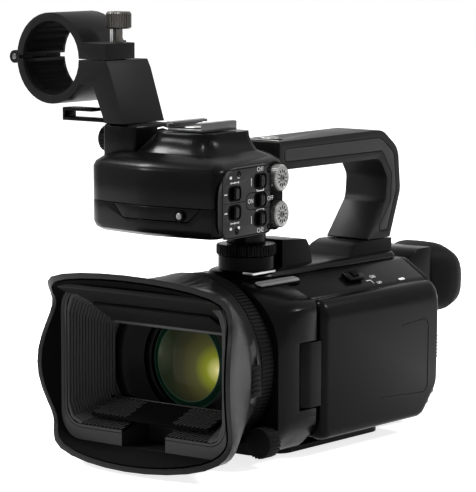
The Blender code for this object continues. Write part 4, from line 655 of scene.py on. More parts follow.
class Workshop:
    """Makes and registers the visible pieces."""

    def __init__(self) -> None:
        """Starts with the frame's nodes and no pieces."""
        self.nodes = frame["nodes"]
        self.count = 0

    def add(self, name: str, work: Shape, finish: Finish | GlassWithPaintedGlint, body: str = CAMERA_BODY,
            smooth: float = SMOOTH_ANGLE, replaces: Sequence[str] = ()) -> Piece:
        """Turns a shape into a piece that rides on a body.

        Args:
            name: the piece's name.
            work: the shape; it is freed.
            finish: the finish to give it.
            body: the body it rides on.
            smooth: edges sharper than this many degrees stay sharp.
            replaces: the CAD nodes it stands for.

        Returns:
            The new object.
        """
        resize(work, MM)
        limit = math.radians(smooth)
        for face in work.faces:
            face.smooth = True
        for edge in work.edges:
            edge.smooth = edge.calc_face_angle(0.0) < limit
        mesh = mesh_of(work, name)
        mesh.materials.append(finish.material())
        obj = linked(name, mesh)
        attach(obj, body)
        if replaces:
            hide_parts(*replaces)
        self.count += 1
        LOG.info("piece %-28s on %-16s %6d faces", name, body, len(mesh.polygons))
        return obj

    def group(self, name: str, parts: Iterable[Shape], finish: Finish, node: str = "") -> None:
        """Joins shapes into one piece that rides with a CAD node, or else with the camera."""
        self.add(name, joined(parts), finish, self.body_of(node) if node else CAMERA_BODY)

    def body_of(self, node: str) -> str:
        """Gives the body that a CAD node belongs to."""
        return self.nodes[node]["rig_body"]

    def copy(self, node: str) -> Shape:
        """Copies a CAD node's mesh, in millimetres, with its triangles merged into flat faces."""
        work = bmesh.new()
        work.from_mesh(self.nodes[node].data)
        bmesh.ops.remove_doubles(work, verts=work.verts, dist=0.00001)
        resize(work, 1 / MM)
        bmesh.ops.dissolve_limit(work, angle_limit=math.radians(0.8), verts=work.verts, edges=work.edges)
        return work

    def stand_in(self, node: str, work: Shape, finish: Finish | GlassWithPaintedGlint,
                 smooth: float = SMOOTH_ANGLE) -> Piece:
        """Adds a shape that stands for a CAD node and rides on its body."""
        return self.add(f"{node}_skin", work, finish, self.body_of(node), smooth, (node,))

    def refine(self, node: str, finish: Finish, edge: float, segments: int = 3) -> None:
        """Copies a CAD node, rounds its edges and stands the copy in for it.

        Args:
            node: the CAD node.
            finish: the finish of the copy.
            edge: edge round in millimetres.
            segments: steps of that round.
        """
        self.stand_in(node, round_edges(self.copy(node), edge, segments), finish)

    def refine_all(self, rows: Iterable[tuple]) -> None:
        """Refines several CAD nodes, each row holding what one call of refine takes."""
        for row in rows:
            self.refine(*row)

    def peel(self, name: str, node: str, test: Callable[[Vector, Vector], bool], finish: Finish,
             lift: float = 0.12) -> None:
        """Lays a thin skin of another finish over some faces of a CAD node.

        Args:
            name: the skin's name.
            node: the CAD node that it lies on.
            test: takes a face's middle and normal and says whether it is covered.
            finish: the skin's finish.
            lift: how far it stands off.
        """
        work = self.copy(node)
        bare = [face for face in work.faces if not test(face.calc_center_median(), face.normal)]
        bmesh.ops.delete(work, geom=bare, context="FACES")
        for vert, way in ways_out(work).items():
            vert.co += way * lift
        self.add(name, work, finish, self.body_of(node))


SHOP = Workshop()


def ways_out(work: Shape) -> dict[Vert, Vector]:
    """Gives each point's mean direction out of the faces round it."""
    return {vert: sum((face.normal for face in vert.link_faces), Vector()).normalized()
            for vert in work.verts}


def corners_of(node: str) -> tuple[Vector, Vector]:
    """Gives a node's lowest and highest corners in millimetres."""
    low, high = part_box(node)
    return Vector(low) / MM, Vector(high) / MM


def middle_of(node: str) -> Vector:
    """Gives the middle of a node's box in millimetres."""
    low, high = corners_of(node)
    return (low + high) / 2


def screw_head(radius: float, place: Matrix) -> Shape:
    """Makes a small screw head with a round socket on a face."""
    profile = [(0, -0.3), (radius, -0.3), (radius, 0.25), (radius * 0.85, 0.45), (radius * 0.5, 0.45),
               (radius * 0.42, 0.0), (0, 0.0)]
    return lathe(profile, place, 24)


def tube(path: Sequence[Vector], radius: float, sides: int = 10) -> Shape:
    """Sweeps a round section along a path.

    Args:
        path: the points it follows.
        radius: the section's radius.
        sides: points round the section.

    Returns:
        The capped tube.
    """
    rings = []
    for index, point in enumerate(path):
        ahead = path[min(index + 1, len(path) - 1)] - path[max(index - 1, 0)]
        side = ahead.cross(Vector((0, 0, 1)))
        if side.length < 1e-4:
            side = Vector((1, 0, 0))
        place = face_at(point, side, side.cross(ahead))
        rings.append(placed(disc(radius, sides), place))
    return loft(rings)


@dataclass
class Hood:
    """Lens hood: shell, ribbed baffle, two barrier blades and their lever."""

    rim_y: float = -89.4
    window_y: float = -67.4
    mouth: tuple = (44.8, 27.5, 8.0)
    window: tuple = (35.5, 19.8, 5.0)
    lift: float = 1.2
    ribs: int = 16
    rib_height: float = 0.8
    rib_pitch: float = 2.3
    trench: float = 12.5
    hinge_y: float = -69.6
    hinge_drop: float = 17.6
    blade_length: float = 17.2
    blade_half_w: float = 33.5
    lean: tuple = (0.52, -0.854)
    lever_ridges: int = 5
    skins: tuple = (("hood_shell", HOOD, 0.8), ("hood_baffle", DEEP, 0.3, 2), ("upper_blade", PLATE, 0.3, 2),
                    ("lower_blade", DEEP, 0.3, 2), ("barrier_lever", SOFT, 0.3, 2))

    def build(self) -> None:
        """Builds every hood piece."""
        SHOP.refine_all(self.skins)
        # A deep black skin on the inner side of the flared lip paints the shade that falls there
        SHOP.peel("hood_lip_painted_shade", "hood_shell", self.is_shaded_lip, DEEP, 0.85)
        # Lighter grey skins on the flat fronts of the rims paint the light they catch
        SHOP.peel("hood_rim_painted_light", "hood_shell", self.is_rim, HOOD_PAINTED_LIGHT)
        SHOP.peel("baffle_rim_painted_light", "hood_baffle", self.is_rim, HOOD_PAINTED_LIGHT)
        self.baffle_ribs()
        self.roof_plate()
        self.blade("upper_blade", 1.0)
        self.blade("lower_blade", -1.0)
        self.lever()

    def is_shaded_lip(self, middle: Vector, normal: Vector) -> bool:
        """Says whether a face belongs to the inner side of the flared lip, which gets the painted shade."""
        out = Vector((middle.x, 0, middle.z - LENS_Z)).normalized()
        return middle.y < self.rim_y - 0.3 and normal.dot(out) < -0.2

    def is_rim(self, middle: Vector, normal: Vector) -> bool:
        """Says whether a face belongs to the flat front of the rim."""
        return abs(middle.y - self.rim_y) < 0.2 and normal.y < -0.9

    def section(self, share: float, inward: float, side: float) -> list[Vector]:
        """Gives the line of one side wall at a share of the baffle's depth.

        Args:
            share: 0 at the window, 1 at the mouth.
            inward: distance inside the wall.
            side: 1 for the monitor side, -1 for the other.

        Returns:
            The points from the floor up to the roof.
        """
        wide, high, radius = (between(a, b, share) for a, b in zip(self.window, self.mouth))
        lift = between(1, self.lift, share)
        y = between(self.window_y, self.rim_y, share)
        line = slab(2 * (wide - inward), 2 * (high - inward), radius, steps=2)[:6]
        return [Vector((side * p.x, y, LENS_Z + p.y * (lift if p.y > 0 else 1.0))) for p in line]

    def baffle_ribs(self) -> None:
        """Lines the baffle's side walls with nested stepped ribs."""
        parts = []
        for index in range(self.ribs):
            near = (index + 0.35) / self.ribs
            far = near + 0.42 / self.ribs
            for side in (-1.0, 1.0):
                lines = [self.section(share, inward, side) for share, inward in (
                    (near, -0.2), (far, -0.2), (far, self.rib_height), (near, self.rib_height))]
                parts.append(loft([list(points) for points in zip(*lines)]))
        # The ribs take the lighter grey, painted light on them
        SHOP.add("hood_ribs", joined(parts), HOOD_PAINTED_LIGHT, smooth=20.0)

    def roof_plate(self) -> None:
        """Makes the smooth plate under the visor with its straight front edge."""
        rings = []
        for share in (0.07, 0.5, 1.0, 1.2, 1.26):
            half = between(self.window[0], self.mouth[0], share) - 0.9
            y = between(self.window_y, self.rim_y, share)
            z = LENS_Z + self.window[1] + (self.mouth[1] * self.lift - self.window[1]) * share - 2.2
            rings.append([Vector((x, y, height)) for x, height in (
                (half, z), (half, z + 2.0), (-half, z + 2.0), (-half, z))])
        SHOP.add("visor_plate", round_edges(loft(rings), 0.25), PLATE)

    def blade(self, node: str, side: float) -> None:
        """Gives one barrier blade its hinge bar, and the lower one its slanted ribs.

        Args:
            node: the CAD blade.
            side: 1 for the upper blade, -1 for the lower one.
        """
        body = SHOP.body_of(node)
        hinge = (0, self.hinge_y, LENS_Z + side * self.hinge_drop)
        # Upper bar: lighter grey, a painted highlight for the light line along the open blade's edge; lower
        # bar: the hood's painted-light grey
        tall, deep, finish = (2.6, 2.2, GREY_AND_EDGE_HIGHLIGHT) if side > 0 else (1.4, 1.6, HOOD_PAINTED_LIGHT)
        reach = self.blade_half_w - 0.5
        rod = prism(slab(deep, tall, 0.5), -reach, reach, Side.LEFT.at(*hinge), 0.2)
        SHOP.add(f"{node}_hinge_bar", rod, finish, body)
        if side > 0:
            return
        slope = math.atan2(self.mouth[1] - self.window[1], self.window_y - self.rim_y)
        down = (0, -math.cos(slope), -math.sin(slope))
        self.slanted_ribs("lower_blade_ribs", body, face_at(hinge, (-1, 0, 0), down),
                          (1.6, self.blade_length - 0.8), self.blade_half_w - 0.8, 0.45)
        floor = face_at((0, self.window_y, LENS_Z - self.window[1]), (-1, 0, 0), down)
        self.slanted_ribs("hood_floor_ribs", CAMERA_BODY, floor, (12.0, 22.8),
                          self.mouth[0] - self.mouth[2], -0.2)

    def slanted_ribs(self, name: str, body: str, place: Matrix, span: tuple, wide: float,
                     base: float) -> None:
        """Adds slanted ribs at both sides of the middle channel.

        Args:
            name: the piece's name.
            body: the body it rides.
            place: the frame; its Y runs from the window to the mouth.
            span: where the ribs begin and end along that Y.
            wide: how far they reach from the middle.
            base: where they start along the frame's Z.
        """
        lean = Vector(self.lean).normalized()
        turn = Matrix.Rotation(math.atan2(lean.y, -lean.x), 4, "Z")
        parts = []
        for low, high in ((-wide, -self.trench - 0.5), (self.trench + 0.5, wide)):
            start = low - 12.0
            while start < high:
                near = Vector((start, span[1]))
                begin = max(0.0, (low - near.x) / lean.x)
                end = min((near.y - span[0]) / -lean.y, (high - near.x) / lean.x)
                if end - begin > 1.0:
                    middle = near + lean * (begin + end) / 2
                    outline = slab(end - begin, 0.8, 0.2, steps=1)
                    parts.append(prism(outline, base, base + 0.55, moved(place, -middle.x, middle.y) @ turn))
                start += self.rib_pitch
        # The slanted ribs take the lighter grey, painted light on them
        SHOP.add(name, joined(parts), HOOD_PAINTED_LIGHT, body)

    def lever(self) -> None:
        """Adds ridges across the barrier lever's thumb face."""
        low, high = corners_of("barrier_lever")
        middle = middle_of("barrier_lever")
        place = Side.LEFT.at(high.x, middle.y, middle.z)
        ridges = []
        for index in range(self.lever_ridges):
            z = low.z + 2.6 + index * (high.z - low.z - 5.2) / (self.lever_ridges - 1)
            ridges.append(prism(slab(5.4, 1.0, 0.4, (0, z - middle.z)), -0.1, 0.5, place, 0.15))
        SHOP.group("barrier_lever_ridges", ridges, SOFT, "barrier_lever")


@dataclass
class Lens:
    """Lens line: barrel, coated front glass, retainer, knurled ring and inner parts."""

    glass_r: float = 21.0
    glass_rim_y: float = -57.0
    glass_apex_y: float = -60.5
    dome_bend: float = 0.82
    dome_drop: float = 0.5757
    dome_steps: int = 12
    ring_r: float = 39.3
    ring_bore: float = 34.8
    ring_span: tuple = (-57.1, -46.3)
    teeth: int = 132
    steps: int = 96
    barrel: tuple = ((37.2, -57.4), (37.2, -65.2), (36.6, -65.8), (33.0, -66.0), (31.0, -65.6), (29.2, -64.4),
                     (25.2, -61.2), (24.0, -60.6), (24.0, -20.0), (27.5, -20.0), (27.5, -41.0), (34.5, -41.0),
                     (34.5, -57.4))
    skins: tuple = (("lens_retainer", LENS_BLACK, 0.3), ("zoom_lens", GREEN_GLASS, 0.2, 2),
                    ("image_sensor", BOARD, 0.2, 2))

    def build(self) -> None:
        """Builds the lens line."""
        SHOP.refine_all(self.skins)
        axis = Side.REAR.at(0, 0, LENS_Z)
        SHOP.stand_in("lens_barrel", lathe(self.barrel, axis, self.steps), LENS_BLACK, 50.0)
        self.glass(axis)
        self.ring(axis)

    def glass(self, axis: Matrix) -> None:
        """Makes the domed front glass.

        Args:
            axis: the lens line's frame.
        """
        dome = [(0, self.glass_apex_y)]
        for step in range(1, self.dome_steps + 1):
            share = step / self.dome_steps
            fall = 1 - math.sqrt(1 - self.dome_bend * share * share)
            rise = (self.glass_rim_y - self.glass_apex_y) * fall / self.dome_drop
            dome.append((self.glass_r * share, self.glass_apex_y + rise))
        back = corners_of("front_lens")[1].y
        dome += [(self.glass_r, back - 0.5), (self.glass_r - 0.5, back), (0, back)]
        # The front glass takes the painted glint and painted reflection, emitted so that it glows
        SHOP.stand_in("front_lens", lathe(dome, axis, self.steps), GlassWithPaintedGlint(), 30.0)

    def ring(self, axis: Matrix) -> None:
        """Makes the knurled ring.

        Args:
            axis: the lens line's frame.
        """
        front, back = self.ring_span
        teeth = toothed(self.ring_r, self.teeth, 0.5)
        smooth = self.ring_r - 0.6
        levels = ((self.ring_bore, front), (self.ring_r - 1.2, front), (smooth, front + 0.5),
                  (smooth, front + 1.7), (teeth, front + 1.9), (teeth, back - 1.0), (smooth, back - 0.8),
                  (smooth, back), (self.ring_bore, back))
        SHOP.stand_in("lens_ring", stacked(axis, levels, len(teeth), closed=True), SOFT, FINE_ANGLE)


@dataclass
class Body:
    """Body shells, top deck and the controls that sit in them."""

    rear_y: float = 84.0
    slope_turn: float = 32.7
    grille_fall: tuple = (9.0, 24.5)
    wheel_centre: tuple = (0, -17.0, 91.1)
    wheel_r: float = 13.3
    wheel_bars: int = 54
    pad_edges: tuple = (2.0, 62.0, 20.0, 61.0)
    pad_corner: float = 8.0
    pad_thick: float = 0.9
    pad_sink: float = 0.2
    screws: tuple = ((-43.0, 70.0), (-43.0, 9.0), (27.0, 62.0))
    feet: tuple = ((-18.0, 20.0), (-18.0, -49.0), (14.0, 20.0), (14.0, -49.0))
    skins: tuple = (("front_shell", BLACK, 1.5), ("left_shell", BLACK, 0.9), ("right_shell", BLACK, 1.2),
                    ("rear_cover", BLACK, 0.8), ("top_cover", BLACK, 0.8), ("base_plate", SATIN, 0.4),
                    ("tripod_socket", STEEL, 0.3, 2), ("main_board", BOARD, 0.2, 2),
                    ("custom_dial", SOFT, 0.3, 2), ("record_button", RED, 0.3, 2),
                    ("zoom_rocker", SOFT, 0.4, 2), ("lock_wheel", SATIN, 0.35, 2),
                    ("mode_switch", SATIN, 0.3, 2))

    def build(self) -> None:
        """Builds the body's pieces."""
        SHOP.refine_all(self.skins)
        self.trim()
        self.grille()
        self.mode_switch()
        self.wheel_marks()
        self.grip_side()
        self.rear_details()
        self.underside()

    def trim(self) -> None:
        """Lays the bright trim round the front left corner of the top cover."""
        outer = [Vector(p) for p in ((11.0, -33.3), (16.4, -33.3), (17.3, -32.4), (17.3, -17.5))]
        inner = [Vector(p) for p in ((11.0, -32.6), (16.1, -32.6), (16.6, -32.1), (16.6, -17.5))]
        SHOP.add("deck_trim", prism(outer[::-1] + inner, 81.8, 82.8, edge=0.15), SILVER)

    def grille(self) -> None:
        """Makes the perforated strip along the front edge of the left slope."""
        turn = math.atan2(*self.grille_fall)
        place = face_at((21.0, -21.0, 78.0), (math.cos(turn), 0, -math.sin(turn)), (0, 1, 0))
        SHOP.stand_in("mic_grille", prism(slab(4.4, 29.6, 2.0), -0.9, 0.5, place, 0.25), MESH)
        rim = collar(slab(5.6, 30.8, 2.6), slab(4.5, 29.7, 2.05), -0.9, 0.25, place)
        SHOP.add("mic_grille_frame", rim, SATIN)

    def slope(self, x: float, y: float, z: float) -> Matrix:
        """Gives a frame on the left slope: across runs back, up runs inward and up."""
        turn = math.radians(self.slope_turn)
        return face_at((x, y, z), (0, 1, 0), (-math.cos(turn), 0, math.sin(turn)))

    def mode_switch(self) -> None:
        """Ridges the mode switch and prints its plain marks."""
        place = self.slope(*middle_of("mode_switch"))
        ridges = [prism(slab(0.7, 3.4, 0.2, (step * 1.5, 0)), 1.1, 2.0, place, 0.12) for step in (-1, 0, 1)]
        SHOP.group("mode_switch_ridges", ridges, SATIN, "mode_switch")
        face = self.slope(26.9, 45.0, 73.35)
        marks = [lettering("ON", 2.6, moved(face, 0, 0.9)), lettering("OFF", 2.2, moved(face, 0.4, -3.6)),
                 bar(3.4, 0.35, (-5.6, -1.0), face), bar(0.35, 2.6, (-3.9, -2.1), face)]
        SHOP.group("mode_marks", marks, MARK)
        pill = prism(slab(4.6, 1.5, 0.7), 0.0, 0.2, self.slope(30.2, 62.6, 71.25), 0.05)
        SHOP.add("slope_pill", pill, MARK)

    def wheel_marks(self) -> None:
        """Adds the fine raised grip bars round the lock wheel."""
        pads = []
        for index in range(self.wheel_bars):
            turn = 2 * math.pi * index / self.wheel_bars
            place = face_at(self.wheel_centre, (-math.sin(turn), math.cos(turn), 0), (0, 0, 1))
            pads.append(prism(slab(0.75, 3.8, 0.3, steps=2), -0.3, 0.35, moved(place, 0, 0, self.wheel_r)))
        SHOP.group("lock_wheel_pads", pads, SOFT, "lock_wheel")

    def grip_side(self) -> None:
        """Lays the pebbled grip pad on the hand side, following the shell's curve."""
        work = SHOP.copy("right_shell")
        front, back, low, high = self.pad_edges
        planes = [((0, front, 0), (0, -1, 0)), ((0, back, 0), (0, 1, 0)), ((0, 0, low), (0, 0, -1)),
                  ((0, 0, high), (0, 0, 1))]
        planes += [((0, y, z - up * self.pad_corner), (0, way, up))
                   for y, way in ((front, -1), (back, 1)) for z, up in ((low, -1), (high, 1))]
        for point, way in planes:
            bmesh.ops.bisect_plane(work, geom=work.verts[:] + work.edges[:] + work.faces[:], plane_co=point,
                                   plane_no=way, clear_outer=True)
        bmesh.ops.delete(work, geom=[face for face in work.faces if face.normal.x > -0.4], context="FACES")
        outer = ways_out(work)
        for vert, way in outer.items():
            vert.co -= way * self.pad_sink
        spots = {vert.co.copy().freeze(): way for vert, way in outer.items()}
        grown = bmesh.ops.extrude_face_region(work, geom=work.faces[:], use_keep_orig=True)["geom"]
        for vert in verts_in(grown):
            vert.co += spots[vert.co.copy().freeze()] * self.pad_thick
        bmesh.ops.recalc_face_normals(work, faces=work.faces)
        SHOP.add("grip_pad", round_edges(work, 0.25, 2, 50.0), GRIP)

    def rear_details(self) -> None:
        """Adds the connector door with its pull, the button ring, screws and lamp on the rear face."""
        hinge = Side.REAR.at(24.0, self.rear_y, 30.0)
        SHOP.group("rear_port_door", [prism(slab(14.0, 44.0, 3.0), -0.2, 0.9, hinge, 0.35, 3),
                                      prism(slab(5.0, 1.2, 0.5, (0, 17.5)), 0.8, 1.5, hinge, 0.2)], SOFT)
        ring = collar(disc(6.4, 40), disc(5.4, 40), -0.2, 0.8, Side.REAR.at(-30.0, self.rear_y, 62.0))
        SHOP.add("record_ring", ring, SILVER)
        screws = [screw_head(1.4, Side.REAR.at(x, self.rear_y, z)) for x, z in self.screws]
        SHOP.group("rear_screws", screws, STEEL)
        lens = [(0, -0.2), (1.2, -0.2), (1.2, 0.2), (0.8, 0.5), (0, 0.6)]
        SHOP.add("rear_lamp", lathe(lens, Side.REAR.at(-30.0, self.rear_y, 72.0), 24), LAMP)

    def underside(self) -> None:
        """Adds the rubber feet under the base."""
        down = Side.UNDER.at(0, 0, 0)
        feet = [prism(slab(16.0, 5.0, 2.2, spot), -0.4, 0.0, down) for spot in self.feet]
        SHOP.group("base_feet", feet, SOFT)


@dataclass
class Monitor:
    """Fold-out monitor: arm, cover, bezel and screen."""

    face_x: float = 44.0
    rear_y: float = 75.5
    line: tuple = ((28.0, 20.9, 0), (64.8, 18.8, 4.0), (65.5, 54.0, 4.0), (44.0, 52.6, 0))
    skins: tuple = (("monitor_hinge", SATIN, 0.8, 4), ("monitor_cover", BLACK, 1.3, 4),
                    ("monitor_bezel", SATIN, 0.4), ("monitor_screen", GLOSS, 0.2, 2))

    def build(self) -> None:
        """Builds the panel's skins, its raised line, keys and pull grip."""
        SHOP.refine_all(self.skins)
        path = [Vector((self.face_x - 0.2, point.x, point.y)) for point in rounded(self.line, 8)]
        SHOP.group("monitor_line", [tube(path, 0.38, 12)], SATIN, "monitor_cover")
        place = Side.RIGHT.at(corners_of("monitor_bezel")[0].x, 26.5, 11.4)
        keys = [prism(slab(7.0, 2.6, 1.0, (step * 10.0, 0)), -0.4, 0.0, moved(place, 0, 0, 0.25), 0.15)
                for step in range(-3, 4)]
        SHOP.group("monitor_keys", keys, SOFT, "monitor_bezel")
        edge = Side.REAR.at(40.0, self.rear_y, 39.0)
        ridges = [prism(slab(4.6, 0.7, 0.3, (0, step * 1.6)), -0.3, 0.3, edge) for step in range(-3, 4)]
        SHOP.group("monitor_pull", ridges, SATIN, "monitor_cover")


@dataclass
class SoundBlock:
    """Sound block in the handle: housings, switch panel, sockets, lamp and shoe."""

    start: tuple = (30.0, -75.5, 0.0)
    along: tuple = (-6.0, 54.5, 0.0)
    face: float = 2.3
    lamp_y: float = -78.9
    ramp_z: tuple = (137.5, 146.2)
    ramp_bend: float = 1.9
    pockets: tuple = (("input_switch_one", 11.0, 122.0), ("input_switch_two", 11.0, 113.8),
                      ("level_switch_one", 32.0, 125.8), ("sound_switch", 32.0, 117.5),
                      ("level_switch_two", 32.0, 109.2))
    dials: tuple = (("level_dial_one", 47.0, 126.0), ("level_dial_two", 47.0, 109.8))
    words: tuple = (("ON", 2.8, 24.0, 117.4), ("OFF", 2.8, 40.4, 117.4), ("CH1", 2.9, 32.0, 131.0),
                    ("CH2", 2.9, 32.0, 104.0))
    dots: tuple = ((42.3, 123.3), (41.9, 111.4))
    screws: tuple = ((14.4, 130.2), (39.2, 130.2), (12.6, 105.4), (39.2, 105.0))
    sockets: tuple = (("sound_socket_one", -48.0), ("sound_socket_two", -27.0))
    skins: tuple = (("audio_lower", BLACK, 0.6), ("control_panel", PANEL, 0.35), ("lamp_window", BLACK, 0.4),
                    ("accessory_shoe", STEEL, 0.25, 2))

    def build(self) -> None:
        """Builds the block."""
        SHOP.refine_all(self.skins)
        self.upper_housing()
        place = face_at(self.start, self.along, (0, 0, 1))
        self.switches(place)
        self.printing(place)
        self.level_dials(place)
        self.lamp()
        self.dress_sockets()
        self.shoe()

    def upper_housing(self) -> None:
        """Gives the upper housing a concave ramp between its shoulder and the table."""
        work = SHOP.copy("audio_upper")
        ramp = []
        for edge in work.edges:
            low, high = sorted((vert.co.copy() for vert in edge.verts), key=lambda point: point.z)
            if abs(low.z - self.ramp_z[0]) < 0.4 and abs(high.z - self.ramp_z[1]) < 0.4:
                ramp.append((edge, low, high))
        edges = [edge for edge, _, _ in ramp]
        made = bmesh.ops.subdivide_edges(work, edges=edges, cuts=6, use_grid_fill=True)
        lines = [(low, high) for _, low, high in ramp]
        for vert in verts_in(made["geom_inner"]):
            low, high = min(lines, key=lambda line: self.distance(vert.co, *line))
            share = (vert.co.z - low.z) / (high.z - low.z)
            vert.co.xy = low.xy.lerp(high.xy, 1 - (1 - share) ** self.ramp_bend)
        SHOP.stand_in("audio_upper", round_edges(work, 0.8, 3, 40.0), BLACK, 50.0)

    @staticmethod
    def distance(point: Vector, low: Vector, high: Vector) -> float:
        """Gives the distance of a point from a line."""
        near, _ = intersect_point_line(point, low, high)
        return (point - near).length

    def switches(self, place: Matrix) -> None:
        """Dresses the slide switches and frames their pockets.

        Args:
            place: the panel's frame.
        """
        frames = []
        for node, u, z in self.pockets:
            SHOP.refine(node, SATIN, 0.3, 2)
            middle = place.inverted() @ middle_of(node)
            knob = moved(place, middle.x, middle.y)
            ridges = [prism(slab(0.4, 3.6, 0.12, (side * 0.65, 0), 1), 3.4, 4.0, knob, 0.1)
                      for side in (-1, 1)]
            SHOP.group(f"{node}_ridges", ridges, GREY_AND_EDGE_HIGHLIGHT, node)
            spot = moved(place, u, z)
            rim = (self.face - 0.2, self.face + 0.3)
            frames += [collar(slab(10.0, 6.8, 2.4), slab(9.0, 5.8, 2.0), *rim, spot),
                       prism(slab(8.6, 5.6, 1.8), 1.1, 1.2, spot)]
        SHOP.group("pocket_frames", frames, DEEP)

    def printing(self, place: Matrix) -> None:
        """Prints the plain marks, border lines and screws of the panel.

        Args:
            place: the panel's frame.
        """
        at = moved(place, 0, 0, self.face)
        white = [lettering(text, size, moved(at, u, z)) for text, size, u, z in self.words]
        white += [prism(disc(0.7, 16), 0, 0.08, moved(at, u, z)) for u, z in self.dots]
        bars = []
        for z, way in ((125.8, -1.0), (109.2, 1.0)):
            bars += [(6.0, 0.4, 32.0, z + way * 4.3), (0.4, 1.0, 29.2, z + way * 3.9),
                     (0.4, 1.0, 34.8, z + way * 3.9), (0.4, 3.4, 24.6, z)]
        for z, way in ((122.0, 1.0), (113.8, -1.0)):
            bars += [(7.0, 0.4, 11.0, z + way * 4.7), (2.4, 0.5, 3.8, z)]
            bars += [(0.4, 1.0, u, z + way * 4.7) for u in (7.8, 11.0, 14.2)]
            bars += [(1.8, 1.2, u, z + way * 7.0) for u in (7.8, 14.2)]
        white += [bar(length, width, (u, z), at) for length, width, u, z in bars]
        SHOP.group("panel_marks", white, MARK)
        oval = collar(slab(23.8, 7.8, 3.8), slab(23.2, 7.2, 3.5), 0, 0.09, moved(at, 32.0, 117.4))
        border = collar(slab(39.6, 30.0, 1.6), slab(38.8, 29.2, 1.3), 0, 0.09, moved(at, 20.6, 117.55))
        SHOP.group("panel_lines", [oval, bar(18.0, 0.3, (11.0, 117.9), at), border], DEEP)
        SHOP.group("panel_screws", [screw_head(1.5, moved(at, u, z, -0.2)) for u, z in self.screws], DEEP)

    def level_dials(self, place: Matrix) -> None:
        """Makes the bright level dials with notched edges, ticks and a centre screw.

        Args:
            place: the panel's frame.
        """
        flange = []
        for node, u, z in self.dials:
            spot = moved(place, u, z)
            teeth = toothed(6.0, 36, 0.35)
            levels = ((5.0, 0.4), (teeth, 0.6), (teeth, 4.0), (5.5, 4.6), (4.6, 4.8), (4.3, 4.55))
            SHOP.stand_in(node, stacked(spot, levels, len(teeth)), DIAL, FINE_ANGLE)
            turns = [Matrix.Rotation(math.pi * index / 6, 4, "Z") for index in range(12)]
            ticks = [prism(slab(0.35, 1.5, 0.1, (0, 3.2), 1), 4.5, 4.72, spot @ turn) for turn in turns]
            SHOP.group(f"{node}_ticks", ticks, DEEP, node)
            SHOP.group(f"{node}_screw", [screw_head(1.5, moved(spot, 0, 0, 4.6))], STEEL, node)
            flange.append(collar(disc(7.2, 48), disc(6.3, 48), -0.2, 0.8, spot))
        flange.append(prism(slab(9.0, 8.0, 1.5), -1.0, 0.6, moved(place, 49.0, 117.9), 0.2))
        SHOP.group("dial_flanges", flange, DEEP)

    def lamp(self) -> None:
        """Adds the lamp and its ring to the front window."""
        spot = Side.FRONT.at(11.7, self.lamp_y, 112.0)
        SHOP.add("lamp_ring", collar(disc(2.5, 32), disc(1.6, 32), -0.6, 0.25, spot), DEEP)
        dome = [(0, -0.6), (1.55, -0.6), (1.55, 0.1), (1.0, 0.4), (0, 0.5)]
        SHOP.add("lamp_dot", lathe(dome, spot, 32), LAMP)

    def dress_sockets(self) -> None:
        """Dresses the two sound sockets with pins and latch tabs."""
        profile = [(0, -11.0), (0.9, -11.0), (0.9, -3.4), (0.5, -2.8), (0, -2.7)]
        for node, y in self.sockets:
            SHOP.refine(node, STEEL, 0.3, 2)
            place = Side.RIGHT.at(-49.5, y, 116.4)
            turns = [math.radians(turn) for turn in (90.0, 210.0, 330.0)]
            spots = [moved(place, 3.6 * math.cos(turn), 3.6 * math.sin(turn)) for turn in turns]
            SHOP.group(f"{node}_pins", [lathe(profile, spot, 16) for spot in spots], SILVER)
            SHOP.add(f"{node}_latch", prism(slab(4.4, 2.6, 0.8, (0, 8.6)), -0.3, 0.7, place, 0.25), SILVER)

    def shoe(self) -> None:
        """Adds the accessory shoe's bright rails and spring leaf."""
        low, high = corners_of("accessory_shoe")
        middle = middle_of("accessory_shoe")
        leaf = prism(slab(7.0, 17.0, 1.2), 0.0, 0.4, Side.TOP.at(middle.x, middle.y, low.z + 1.5), 0.12)
        SHOP.add("shoe_leaf", leaf, SILVER)
        rail = slab(2.2, high.y - low.y - 1.0, 0.4)
        SHOP.group("shoe_rails", [prism(rail, -0.02, 0.25, Side.TOP.at(x, middle.y, high.z), 0.08)
                                  for x in (low.x + 2.0, high.x - 2.0)], SILVER)


@dataclass
class Handle:
    """Carrying handle with two side inlays and a press button."""

    button_z: float = 139.7
    trim_y: float = -6.2
    trim_z: float = 139.6
    skins: tuple = (("handle", HANDLE, 0.9), ("handle_inlay_left", GRIP, 0.5),
                    ("handle_inlay_right", GRIP, 0.5), ("handle_button", DIAL, 0.3, 2))

    def build(self) -> None:
        """Builds the handle, the ring round its button and the bright edge at the sound block."""
        SHOP.refine_all(self.skins)
        ring = collar(disc(6.0, 40), disc(5.0, 40), -0.2, 0.5, Side.TOP.at(0, 0, self.button_z))
        SHOP.add("handle_button_ring", ring, SATIN)
        strip = prism(slab(20.0, 1.4, 0.5), 0.0, 0.5, Side.TOP.at(0, self.trim_y, self.trim_z), 0.15)
        SHOP.add("handle_trim", strip, SILVER)


